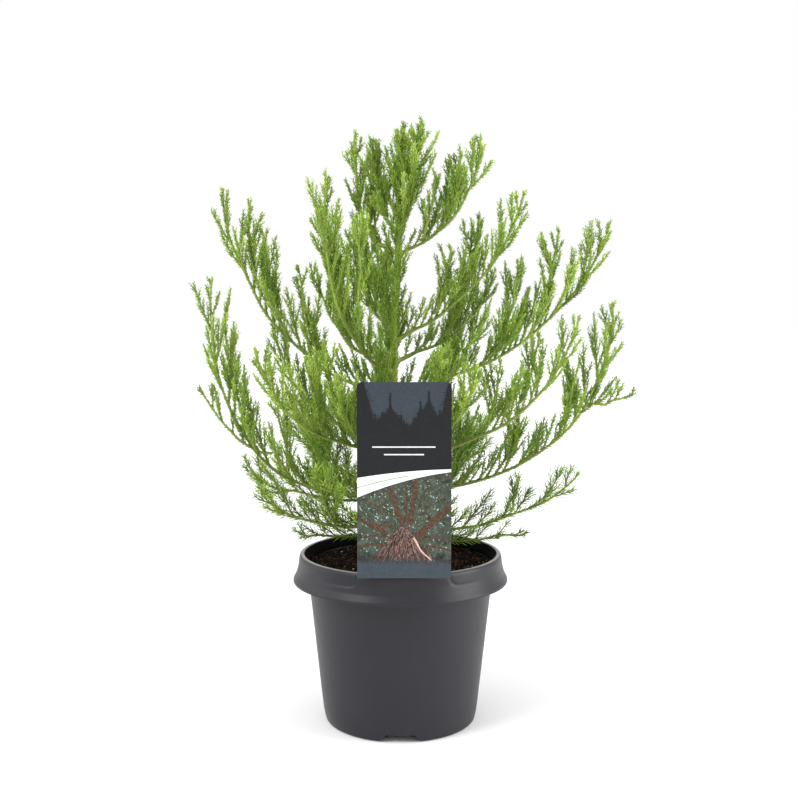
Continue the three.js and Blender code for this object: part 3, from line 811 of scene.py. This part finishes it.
# Limbs in the lower picture: from, to (across, up), width at each end, sway.
PICTURE_LIMBS = [
    (1.7, 193.0, -7.8, 223.4, 5.0, 3.6, 0.8), (4.4, 195.0, 4.4, 226.0, 2.4, 1.8, -0.4),
    (7.1, 193.0, 12.5, 229.6, 5.0, 3.2, -0.8), (11.0, 180.0, 40.6, 207.5, 6.2, 6.4, 0.6),
    (-10.0, 184.2, -34.6, 197.6, 4.8, 3.0, -0.8), (-5.0, 191.0, -26.2, 196.5, 2.6, 1.4, 1.6),
    (-6.0, 202.4, -31.6, 215.0, 1.4, 1.0, 1.0), (-12.0, 182.6, -34.6, 181.9, 2.0, 1.2, -0.9),
    (-13.0, 176.5, -34.6, 174.0, 2.6, 1.4, -1.0), (18.0, 182.4, 40.6, 179.2, 2.2, 1.4, 1.0),
    (20.0, 175.0, 40.6, 171.2, 2.6, 1.4, 0.8), (15.0, 200.0, 38.0, 216.0, 1.2, 0.8, 0.9),
    (-8.0, 208.0, -22.0, 220.0, 1.1, 0.7, -0.6), (14.0, 206.0, 24.0, 228.0, 1.0, 0.7, 0.5),
]
PICTURE_LEAVES = [  # seed, count, colours
    (61, 1100, (70, 78, 58), (50, 56, 42)), (62, 650, (92, 114, 106), (70, 92, 84)),
    (63, 170, (172, 192, 190), (140, 164, 160)), (64, 900, (92, 92, 62), (58, 60, 42)),
]
RULES = [(2.7, 25.4, 255.7), (2.8, 16.1, 249.6)]  # middle, half length, height


def card_shape():
    """A board with rounded upper corners and softly rounded edges all round."""
    outline = [(CARD_LEFT, CARD_BOTTOM), (CARD_RIGHT, CARD_BOTTOM)]
    for middle, first in ((CARD_RIGHT - CARD_CORNER, 0), (CARD_LEFT + CARD_CORNER, 90)):
        for turn in np.radians(np.linspace(first, first + 90, 13)):
            outline.append((middle + CARD_CORNER * math.cos(turn),
                            CARD_TOP - CARD_CORNER + CARD_CORNER * math.sin(turn)))
    outline = np.array(outline)
    middle = np.array([(CARD_LEFT + CARD_RIGHT) / 2, (CARD_BOTTOM + CARD_TOP) / 2])
    inner = outline - np.sign(outline - middle) * CARD_EDGE
    back = CARD_FRONT + CARD_THICK
    rings = [(inner, CARD_FRONT), (outline, CARD_FRONT + CARD_EDGE), (outline, back - CARD_EDGE),
             (inner, back)]
    points = np.vstack([np.insert(ring, 1, y, 1) for ring, y in rings])
    count = len(outline)
    last = np.arange(count) + 3 * count
    return points, [ring_faces(4, count)[:, ::-1], np.arange(count)[None], last[None, ::-1]]


def raised(lower, upper, layer):
    """A thin printed shape between two lines of (across, up), closed on every side."""
    n = len(lower)
    flat = np.vstack([lower, upper])
    front, back = CARD_FRONT - PRINT_STEP * layer, CARD_FRONT + PRINT_DEPTH
    face = ring_faces(2, n, wrap=False)
    rim = np.concatenate([np.arange(n), np.arange(2 * n)[:n - 1:-1]])
    after = np.roll(rim, -1)
    sides = np.stack([rim + 2 * n, after + 2 * n, after, rim], -1)
    points = np.vstack([np.insert(flat, 1, y, 1) for y in (front, back)])
    return points, [np.concatenate([face, face[:, ::-1] + 2 * n, sides])]


def patch_shape(x, low, high, layer):
    """A printed patch that fills from low(x) to high(x)."""
    low = low + 0 * x
    high = np.maximum(high + 0 * x, low + 0.02)
    return raised(np.stack([x, low], -1), np.stack([x, high], -1), layer)


def ribbon(x0, z0, x1, z1, w0, w1, sway, layer):
    """A tapering printed limb from one point to another with a slight sideways sway."""
    t = np.linspace(0, 1, 14)
    dx, dz = x1 - x0, z1 - z0
    side = np.array([-dz, dx]) / math.hypot(dx, dz)
    off = sway * np.sin(math.pi * t) + 0.25 * np.sin(9 * t + z0)
    line = np.stack([x0 + dx * t, z0 + dz * t], -1) + side * off[:, None]
    half = 0.42 * (w0 + (w1 - w0) * t) * (1 + 0.12 * np.sin(17 * t + x0))
    edges = np.stack([line - side * half[:, None], line + side * half[:, None]])
    edges[..., 0] = np.clip(edges[..., 0], CARD_LEFT + 0.1, CARD_RIGHT - 0.1)
    return raised(*edges, layer)


def band_high(x):
    """Upper edge of the pale band across the card."""
    t = (x - CARD_LEFT) / (CARD_RIGHT - CARD_LEFT)
    return 230.6 + 12.6 * t - 5.5 * t * t


def band_low(x):
    """Lower edge of the pale band across the card."""
    t = (x - CARD_LEFT) / (CARD_RIGHT - CARD_LEFT)
    return 214.6 + 32.5 * t - 11.6 * t * t


def flecks(count, seed, size, layer):
    """Small printed leaves scattered over the lower picture, each a flat spike."""
    own = np.random.default_rng(seed)
    x = own.uniform(CARD_LEFT + 2.4, CARD_RIGHT - 2.4, count)
    z = own.uniform(170, 234, count)
    keep = z < band_low(x) - 2.2
    x, z = x[keep], z[keep]
    turn = own.uniform(0, TURN, len(x))
    along = np.stack([np.cos(turn), 0 * turn, np.sin(turn)], -1)
    across = np.stack([-np.sin(turn), 0 * turn, np.cos(turn)], -1)
    off = np.tile([0.0, -1.0, 0.0], (len(x), 1))
    foot = np.stack([x, np.full(len(x), CARD_FRONT - PRINT_STEP * (layer - 1)), z], -1)
    length = size * own.uniform(0.6, 1.4, len(x))
    parts = (foot, along, across, off, length, 0.42 * length)
    return leaf_shape(parts, FLECK, SPIKE_FACES, PRINT_STEP)


def tree_line(x):
    """Top of a row of conifers: top - spire d/(d + 0.5) - slope d, edged with drooping teeth."""
    best = np.full_like(x, 270.6)
    for middle, top, spire, slope in OUTLINE_TREES:
        d = np.abs(x - middle)
        tooth = 4.6 * ((d / 2.1 + 0.13 * top) % 1.0) * np.minimum(1, d * 0.5)
        best = np.maximum(best, top - spire * d / (d + 0.5) - slope * d - tooth)
    best = best + 0.7 * waves(x * 1.4, seed=51, count=5, low=1, high=5)
    edge = np.maximum(0, CARD_CORNER - np.minimum(x - CARD_LEFT, CARD_RIGHT - x))
    return np.minimum(best, CARD_TOP - CARD_CORNER - 0.2 + np.sqrt(CARD_CORNER ** 2 - edge ** 2))


def tree_branches():
    """The conifers' drooping side branches, a little longer than the outline is wide there."""
    own = np.random.default_rng(77)
    made = []
    for middle, top, spire, slope in OUTLINE_TREES:
        for z in np.arange(269, min(top - 1, CARD_TOP - 4), 1.7):
            for way in (-1, 1):
                reach = (max(top - spire - z, 0) / slope + 0.9) * own.uniform(0.95, 1.35)
                made.append(ribbon(middle, z + own.uniform(0, 1.5), middle + way * reach,
                                   z - 0.22 * reach, 1.8, 0.3, own.uniform(-0.4, 0.2),
                                   own.uniform(1.1, 1.9)))
    return joined(made)


def bark_fibre(own, layer):
    """One fibre of the picture's bark, on its way out and down from the trunk's top."""
    side, start, run = own.uniform(-1, 1), own.uniform(0, 0.8), own.uniform(4, 10)
    x = 2.1 + side * 29 * (0.08 + 0.92 * start)
    z = 193 - 32 * start - 2
    return ribbon(x, z, x + side * run * 0.75, max(160, z - run), own.uniform(0.4, 1.0), 0.25,
                  own.uniform(-0.6, 0.6), layer)


def printed(name, shape, material, nodes=()):
    """One printed piece of the label."""
    make_piece(name, shape, material, "label_print", nodes, smooth=False)


def print_label():
    """The card and its printed layers, from the forest at the back to the fade in front."""
    printed("label_board", card_shape(), print_material("card_slate", (56, 64, 70), (51, 59, 65)),
            ["label_card"])
    x = np.linspace(CARD_LEFT + CARD_EDGE, CARD_RIGHT - CARD_EDGE, 420)
    dark = print_material("print_forest", (27, 29, 31), (33, 36, 39))
    printed("label_trees", patch_shape(x, band_high(x) - 1, tree_line(x), 1), dark)
    printed("label_branches", tree_branches(), dark)
    printed("label_band", patch_shape(x, band_low(x), band_high(x), 3),
            print_material("print_white", (244, 244, 242), (232, 233, 232), amount=0.2))
    line = x[x < 6]
    middle = 0.5 * (band_low(line) + band_high(line))
    printed("label_line", patch_shape(line, middle - 0.45, middle + 0.45, 4),
            print_material("print_sage", (158, 172, 140), (140, 156, 122)))
    pale = print_material("print_pale", (216, 219, 221), (196, 200, 203))
    for k, (middle, half, height) in enumerate(RULES):
        bar = np.linspace(middle - half, middle + half, 8)
        printed(f"label_rule_{k + 1}", patch_shape(bar, height - 0.55, height + 0.55, 2), pale)
    printed("label_woods", patch_shape(x, PICTURE_FOOT, band_low(x), 2),
            print_material("print_woods", (84, 92, 82), (34, 38, 33), 160.0, 1.0, 700.0))
    for k, (seed, count, base, patch) in enumerate(PICTURE_LEAVES):
        printed(f"label_leaves_{k + 1}", flecks(count, seed, 2.4 - 0.3 * k, 4 + 0.4 * k),
                print_material(f"print_leaf_{k + 1}", base, patch))
    printed("label_limbs", joined([ribbon(*row, layer=6) for row in PICTURE_LIMBS]),
            print_material("print_limbs", (104, 76, 58), (48, 36, 30), 420.0, 1.0, 900.0))
    # The picture's trunk: a bell whose bark is drawn with light and dark fibres.
    at = np.linspace(-1, 1, 260)
    top = 160 + 36 * (1 - np.abs(at)) ** 1.15 + 0.8 * waves(at * 40, seed=71, low=1, high=3)
    printed("label_trunk", patch_shape(2.1 + 31.0 * at, PICTURE_FOOT, top, 7),
            print_material("print_trunk", (98, 76, 68), (50, 38, 36), 420.0, 1.0, 1100.0))
    own = np.random.default_rng(73)
    for label, count, layer, base, patch in (
            ("dark", 90, 8.0, (56, 42, 40), (38, 30, 30)),
            ("light", 110, 8.4, (150, 122, 110), (112, 86, 78))):
        printed(f"label_bark_{label}", joined([bark_fibre(own, layer) for _ in range(count)]),
                print_material(f"print_bark_{label}", base, patch, 300.0, 0.8))
    printed("label_shine", ribbon(10.6, 182.0, 25.0, 163.0, 2.0, 1.2, -1.4, 9),
            print_material("print_shine", (208, 178, 164), (172, 140, 128)))
    foot = 160.6 + waves(x * 0.5, seed=75, low=1, high=4)
    foot += 5.5 * np.abs(waves(x * 5, seed=76, low=1, high=4)) * np.abs(np.sin(6 * x))
    printed("label_fade", patch_shape(x, CARD_BOTTOM + CARD_EDGE, foot, 10),
            print_material("print_slate", (59, 67, 74), (66, 74, 81)))


print_label()
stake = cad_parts["label_stake"].data.materials
stake.clear()
stake.append(plastic_material("stake_plastic", (206, 208, 206), (176, 172, 160), 0.3, 0.4))


# ---------------- stem and boughs

LIMB_POINTS = 40
# A limb's path and its length, where its foliage starts and the half width of that, whether it
# is a bough's own limb, and how densely it is set with shoots.
Limb = namedtuple("Limb", "name path run start wide seed main dense")


def stem_radius(z):
    """Taper (1 - t)^0.75 plus flare e^(-22 t), and t, the part of the height reached."""
    t = (z - TRUNK_LINE[0, 0]) / (TRUNK_TOP - TRUNK_LINE[0, 0])
    taper = TRUNK_TIP + (TRUNK_RADIUS - TRUNK_TIP) * np.clip(1 - t, 0, 1) ** 0.75
    return taper + TRUNK_FLARE * np.exp(-22 * t), t


def stem_shape():
    """The stem: a tube round its middle line, its bark in long broken ridges.

    Radius = taper + flare e^(-22 t) + ridges, where t is the part of the height reached.
    """
    rings, turns = 520, 40
    z = np.linspace(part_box("trunk")[0].z / MM, TRUNK_TOP, rings)
    radius, t = stem_radius(z)
    za, aa = np.meshgrid(z, np.linspace(0, TURN, turns, endpoint=False), indexing="ij")
    ridge = 0.3 - np.abs(np.sin(aa * 6 + 1.3 * waves(za * 0.03, seed=12) + 0.6 * np.sin(za * 0.16)))
    scale = waves(2 * np.cos(aa), 2 * np.sin(aa), za * 0.3, seed=13, low=1, high=3)
    root = np.exp(-22 * np.clip(t, 0, 1))[:, None] * np.sin(5 * aa + 0.7) * 0.9
    rough = (0.35 + 0.65 * np.exp(-6 * t))[:, None]
    r = radius[:, None] + rough * (0.34 * ridge + 0.12 * scale) + root
    line = stem_point(z)
    points = line[:, None] + np.stack([r * np.cos(aa), r * np.sin(aa), 0 * r], -1)
    points = np.vstack([points.reshape(-1, 3), line[:1], line[-1:] + UP])
    count = rings * turns
    return points, [ring_faces(rings, turns), *end_fans(rings, turns, count, count + 1)]


def limbs_of(name, bough):
    """A bough's limbs: its own, along the lower edge of its foliage, and its standing plumes."""
    seed = sum(map(ord, name)) * 7
    dense = DENSE.get(name, 1.0)
    t = np.linspace(0, 1, 60)
    line = bough_line(bough, t)
    if name != "leader":
        line = outer_edge(line, bough.start, bough.wide)
    limbs = [Limb(name, *even(kinked(line, 0.9, seed), LIMB_POINTS), bough.start, bough.wide, seed,
                  True, dense)]
    for k, (leave, turn, length, wide, *tilt) in enumerate(bough.plumes, 1):
        line = plume_line(bough, leave, turn, length, tilt[0] if tilt else SIDE_TILT, t ** 1.5)
        limbs.append(Limb(name, *even(kinked(line, 0.7, seed + 31 * k), LIMB_POINTS), 0.06, wide,
                          seed + k, False, dense))
    return limbs


def limb_radius(limb, count):
    """Half thickness along a limb: straight taper from its foot to where its foliage starts."""
    s = np.linspace(0, 1, count)
    if limb.main and limb.name != "leader":
        thick = 1.5 + BOUGHS[limb.name].reach / 190
        return np.interp(s, [0, limb.start, 1], [thick, 1.25, 0.7]) + 0.5 * np.exp(-s * 30)
    return np.interp(s, [0, 1], [1.15, 0.65])


def bough_shape(limbs):
    """All limbs of one storey: tubes with shallow scales and a knuckle at each foot."""
    paths = np.stack([limb.path for limb in limbs])
    fine = np.linspace(0, 1, 150)
    which = np.repeat(np.arange(len(paths)), len(fine))
    points, _ = sample(paths, which, np.tile(fine, len(paths)))
    radius = np.stack([limb_radius(limb, len(fine)) for limb in limbs])
    scale = np.stack([waves(fine * limb.run * 0.5, seed=limb.seed, count=5, low=0.6, high=2.4)
                      for limb in limbs])
    return tubes(points.reshape(len(paths), len(fine), 3), radius * (1 + 0.09 * scale), 9)


make_piece("stem", stem_shape(), BARK, "bark", ["trunk"])
LIMBS = [limb for name, bough in BOUGHS.items() for limb in limbs_of(name, bough)]
# Shoots straight off the stem.
STEM_SHOOTS = Limb("leader", *even(stem_point(np.linspace(240, 460, 90)), LIMB_POINTS), 0.0, 13, 97,
                   False, 0.85)
for storey, names in STOREYS.items():
    limbs = [limb for limb in LIMBS if limb.name in names]
    make_piece(f"boughs_{storey}", bough_shape(limbs), TWIG, "bough_bark",
               [f"bough_{name}" for name in names if name != "leader"])


# ---------------- sprays

ROLL = np.radians([90, 52, 118, 76, 30, 104, 142, 88, 16, 160, 66, 124])
SPACING = 6.8  # millimetres between a limb's shoots
BARE_SPACING = 8.0  # the same below a limb's leafy part
CROWDED = 0.62  # past this part of a limb its shoots stand all round it
SHORTEST, LONGEST = 4.0, 28.0
# The second and third order of twigs: the length that their parents pass, the spacing on them,
# the share of the parent's length, the least and greatest angle off it, the lift towards the sky
# on low boughs and on the rest, how strongly they run forward and fan out, the points of each
# path, the radius at the tip, and how much the tone changes and by how much that varies.
Order = namedtuple(
    "Order", "past spacing share least most low_lift lift forward fan points radius tone spread")
ORDERS = [Order(0, 5.8, 0.5, 20, 33, 0.15, 0.55, 0.8, 0.34, 6, 0.4, 0.0, 0.1),
          Order(19, 8.0, 0.35, 22, 36, 0.2, 0.2, 0.9, 0.2, 4, 0.36, 0.04, 0.0)]


def clear(paths, margin=1.5):
    """Which paths keep off the label, the pot and the soil."""
    x, y, z = paths[..., 0], paths[..., 1], paths[..., 2]
    label = ((x > CARD_LEFT - margin) & (x < CARD_RIGHT + margin) & (z < CARD_TOP + margin)
             & (y < CARD_FRONT + CARD_THICK + 4.5))
    pot = (np.hypot(x, y) < 97) & (z < 153)
    return ~(label | pot).any(1)


def first_order(limb, own):
    """Branchlets of one limb: place, roll, angle and length of each.

    They stand close along its leafy part, each as long as the plume is wide times `stretch`, and
    no longer than what is left of the limb; below the leafy part they are few and short.
    """
    run, start = limb.run, limb.start
    count = max(4, int((1 - start) * run / SPACING * limb.dense))
    leafy = start + (1 - start) * (np.arange(count) + 0.4) / count
    bare = int(start * run / BARE_SPACING)
    low = start * (0.25 + 0.75 * (np.arange(bare) + 0.3) / max(bare, 1))
    at = np.concatenate([low, leafy])
    rank = np.arange(len(at))
    roll = ROLL[(rank + limb.seed) % len(ROLL)] + own.normal(0, 0.2, len(at))
    roll = np.where((at > CROWDED) | (limb.name == "leader"), rank * GOLDEN + limb.seed, roll)
    stretch = 3.4 if limb.name.startswith(("low", "leader")) else 2.7
    length = stretch * limb.wide * own.uniform(0.6, 1.15, len(at))
    length = np.where(at < start, np.minimum(length, 20 + 24 * own.random(len(at))), length)
    left = (1 - at) * run * 0.97 - 2 + 4 * own.random(len(at))
    length = np.minimum(length, np.maximum(left, 5))
    length = np.where((at > CROWDED) & (np.sin(roll) < 0.3), length * 0.72, length)
    angle = np.radians(own.uniform(26, 42, len(at)))
    return at, roll, angle, length


def next_order(order, paths, length, low, own):
    """Twigs of a batch of shoots, side about side: (their paths, length of each, its parent).

    Each is as long as its share of what is left of its parent, plus the shortest.
    """
    count = np.maximum(1, ((length - 5) / order.spacing).astype(int))
    parent = np.repeat(np.arange(len(paths)), count)
    n = len(parent)
    rank = np.arange(n) - np.repeat(np.cumsum(count) - count, count)
    place = 0.12 + 0.7 * (rank + own.uniform(0.2, 0.8, n)) / count[parent]
    turn = own.uniform(0, math.pi, len(paths))[parent]
    roll = turn + math.pi * rank + own.normal(0, 0.5, n)
    reach = ((1 - place) * length[parent] * order.share + SHORTEST) * own.uniform(0.55, 1.15, n)
    reach = np.minimum(reach, LONGEST)
    angle = np.radians(own.uniform(order.least, order.most, n))
    twigs = grow(paths, parent, place, roll, angle, reach, order.low_lift if low else order.lift,
                 order.forward, order.fan, order.points)
    keep = clear(twigs)
    return twigs[keep], reach[keep], parent[keep]


def shoot_tone_and_light(tip, low, own):
    """How bright each shoot's leaves are: a random tone of their own and a lift on low boughs, plus
    painted light and shade, brighter at the front, outside and top and darker towards the right.
    """
    tone = 0.44 + 0.15 * own.normal(size=len(tip))
    tone += 0.10 * np.clip(-tip[:, 1] / 100, -1, 1)
    tone += 0.08 * np.clip((np.hypot(tip[:, 0], tip[:, 1]) - 80) / 90, -1, 1)
    tone += 0.12 * np.clip((tip[:, 2] - 300) / 160, -1, 1)
    tone -= 0.10 * np.clip(tip[:, 0] / 120, 0, 1)
    return tone + (0.08 if low else 0)


def sprays_of(limb):
    """A limb's twigs, order by order, as batches of paths, foot and tip radius, tone and style."""
    own = np.random.default_rng(limb.seed + 5)
    low = limb.name.startswith("low")
    at, roll, angle, length = first_order(limb, own)
    first = grow(limb.path[None], np.zeros(len(at), dtype=int), at, roll, angle, length,
                 0.45 if low else 1.05, 0.6, 0.34, 11)
    keep = clear(first)
    first, length = first[keep], length[keep]
    if not len(first):
        return []
    tone = shoot_tone_and_light(first[:, -1], low, own)
    batches = [(first, 0.35 + length * 0.012, 0.45, tone, low)]
    if limb is not STEM_SHOOTS:  # the limb's own end is a leafy shoot too
        begin = limb.start if limb.main else 0.0
        end = even(limb.path[int(begin * (LIMB_POINTS - 1)):], 24)[0][None]
        batches.append((end, np.array([0.8]), 0.5, np.array([0.5]), low))
    twigs = first
    for order in ORDERS:
        able = length > order.past
        twigs, length, parent = next_order(order, twigs[able], length[able], low, own)
        tone = tone[able][parent] + order.tone
        if order.spread:
            tone = tone + order.spread * own.normal(size=len(parent))
        batches.append((twigs, order.radius + length * 0.01, order.radius, tone, low))
    return [batch for batch in batches if len(batch[0])]


GROWN = {storey: [batch for limb in [*LIMBS, STEM_SHOOTS] if limb.name in names
                  for batch in sprays_of(limb)] for storey, names in STOREYS.items()}


# ---------------- twigs and leaves as meshes

LEAF_LENGTH, LEAF_WIDTH, LEAF_GAP = 3.5, 1.15, 1.05
COAT_LOW, COAT_HIGH = 190.0, 512.0  # the stretch of the stem that carries needles and leaves
# The stem's leaves: material, from and to where on that stretch, millimetres apart.
STEM_LEAVES = [("green", 0.44, 1.0, 0.22), ("deep", 0.5, 1.0, 0.8), ("fresh", 0.3, 0.9, 0.3)]


def tapered(foot, tip, count):
    """Each twig's radius at `count` places, even from its foot to its tip."""
    s = np.linspace(0, 1, count)
    return foot[:, None] * (1 - s) + tip * s


def dress(batches):
    """Leaf parts and tones for every twig of a storey; those of the low boughs are feathery."""
    parts, tones = [], []
    for paths, foot, tip, tone, feathery in batches:
        which, at, order = leaf_places(paths, LEAF_GAP)
        n = len(which)
        size = LEAF_LENGTH * dice.uniform(0.8, 1.2, n) * (1 - 0.2 * at ** 3) * (1 + 0.9 * feathery)
        width = LEAF_WIDTH * dice.uniform(0.85, 1.15, n) * (1 - 0.25 * feathery)
        spread = np.radians(24 + 12 * feathery - 7 * at ** 4 + dice.normal(0, 5, n))
        skin = 0.7 * (foot[which] * (1 - at) + tip * at)
        parts.append(leaves(paths, which, at, order, size, width, spread, skin))
        tones.append(tone[which] + 0.2 * (at - 0.4) + dice.normal(0, 0.05, n))
    return [np.concatenate(column) for column in zip(*parts)], np.concatenate(tones)


def old_needles(paths, skin, first, last, gap, size, lean):
    """Long thin needles that stand off the old wood, between two places along each limb."""
    which, at, order = leaf_places(paths, gap, first, last)
    n = len(which)
    length = size * dice.uniform(0.6, 1.25, n)
    width = 0.75 * dice.uniform(0.8, 1.2, n)
    spread = np.radians(lean + dice.normal(0, 14, n))
    parts = leaves(paths, which, at, order * 1.31, length, width, spread, np.full(n, skin))
    tip = parts[0] + parts[1] * length[:, None]
    keep = clear(np.stack([parts[0], tip], 1))
    return [part[keep] for part in parts]


def foliage(name, shape, material, nodes=()):
    """One piece of leaves or needles."""
    make_piece(name, shape, material, "foliage", nodes, smooth=False)


def add_needles(name, batches):
    """One piece of old needles from several batches."""
    parts = [np.concatenate(column) for column in zip(*batches)]
    foliage(name, leaf_shape(parts, NEEDLE, SPIKE_FACES), NEEDLES)


stem_line = even(stem_point(np.linspace(COAT_LOW, COAT_HIGH, 200)), 200)[0][None]
add_needles("needles_stem", [old_needles(stem_line, 2.6, 0.05, 0.55, 1.6, 4.6, 34),
                             old_needles(stem_line, 1.5, 0.5, 1.0, 1.1, 4.6, 30)])
for label, first, last, gap in STEM_LEAVES:
    which, at, order = leaf_places(stem_line, gap, first, last)
    skin = stem_radius(COAT_LOW + (COAT_HIGH - COAT_LOW) * at)[0] - 0.3
    size = 3.8 * dice.uniform(0.7, 1.2, len(at))
    lean = np.radians(13 + dice.normal(0, 5, len(at)))
    width = 1.5 * dice.uniform(0.8, 1.2, len(at))
    coat = leaves(stem_line, which, at, order, size, width, lean, skin)
    foliage(f"leaves_stem_{label}", leaf_shape(coat, LEAF, LEAF_FACES), LEAF_MATERIALS[label])
for storey, names in STOREYS.items():
    batches = []
    for limb in LIMBS:
        if limb.name in names and limb.main and limb.name != "leader":
            size, lean = (8.5, 48) if limb.name.startswith("low") else (6.5, 38)
            batches.append(old_needles(limb.path[None], 1.1, 0.04, min(limb.start + 0.25, 0.6), 0.9,
                                       size, lean))
    add_needles(f"needles_{storey}", batches)
for storey, batches in GROWN.items():
    parts, tone = dress(batches)
    kind = np.digitize(tone, TONE_STEPS)
    for k, (label, material) in enumerate(LEAF_MATERIALS.items()):
        shape = leaf_shape([part[kind == k] for part in parts], LEAF, LEAF_FACES)
        foliage(f"leaves_{storey}_{label}", shape, material,
                [f"foliage_{name}" for name in STOREYS[storey]])
    twigs = [tubes(paths[:, ::2], tapered(foot, tip, paths.shape[1])[:, ::2], 4)
             for paths, foot, tip, _, _ in batches]
    make_piece(f"twigs_{storey}", joined(twigs), TWIG, "bough_bark")


# ---------------- floor, light and camera

FLOOR_HALF = 9000.0
# Name, kind, place, size (degrees for a sun, metres for a panel), strength.
LAMPS = [
    ("sun_left", "SUN", (-1.0, -0.7, 1.3), 26, 1.5),
    ("left_panel", "AREA", (-1.2, 0.1, 0.5), 0.8, 2),
    ("right_panel", "AREA", (1.2, -0.35, 0.5), 0.8, 11),
]
LAMP_AIM = (0, 0, 0.2)
CAMERA_PLACE, CAMERA_DOWN = (-0.0012, -1.0, 0.375), 5.125
CAMERA_LENS, CAMERA_SENSOR = 51.28, 36


def add_object(name, data, place, turn):
    """A lamp or camera in the scene."""
    obj = bpy.data.objects.new(name, data)
    bpy.context.collection.objects.link(obj)
    obj.location = place
    obj.rotation_euler = turn
    return obj


def stage():
    """A pale floor in a white room: one broad sun from the left and two soft panels."""
    material, _, shader = plain_material("pale_floor", 0.9)
    shader.inputs["Base Color"].default_value = (0.93, 0.93, 0.93, 1)
    corners = FLOOR_HALF * np.array([[-1, -1, 0], [1, -1, 0], [1, 1, 0], [-1, 1, 0]])
    make_piece("floor", (corners, [np.array([[0, 1, 2, 3]])]), material, smooth=False)
    world = bpy.data.worlds.new("white_room")
    world.use_nodes = True
    world.node_tree.nodes["Background"].inputs["Color"].default_value = (1, 1, 1, 1)
    world.node_tree.nodes["Background"].inputs["Strength"].default_value = 1.0
    bpy.context.scene.world = world
    for name, kind, place, size, power in LAMPS:
        data = bpy.data.lights.new(name, kind)
        data.energy = power
        if kind == "SUN":
            data.angle = math.radians(size)
        else:
            data.shape = "DISK"
            data.size = size
        aim = Vector(LAMP_AIM) - Vector(place)
        add_object(name, data, place, aim.to_track_quat("-Z", "Y").to_euler())
    bpy.context.scene.view_settings.view_transform = "Standard"


stage()
view = bpy.data.cameras.new("front_view")
view.sensor_width = CAMERA_SENSOR
view.lens = CAMERA_LENS
view.clip_end = 50
bpy.context.scene.camera = add_object(
    "front_view", view, CAMERA_PLACE, (math.radians(90 - CAMERA_DOWN), 0, 0))
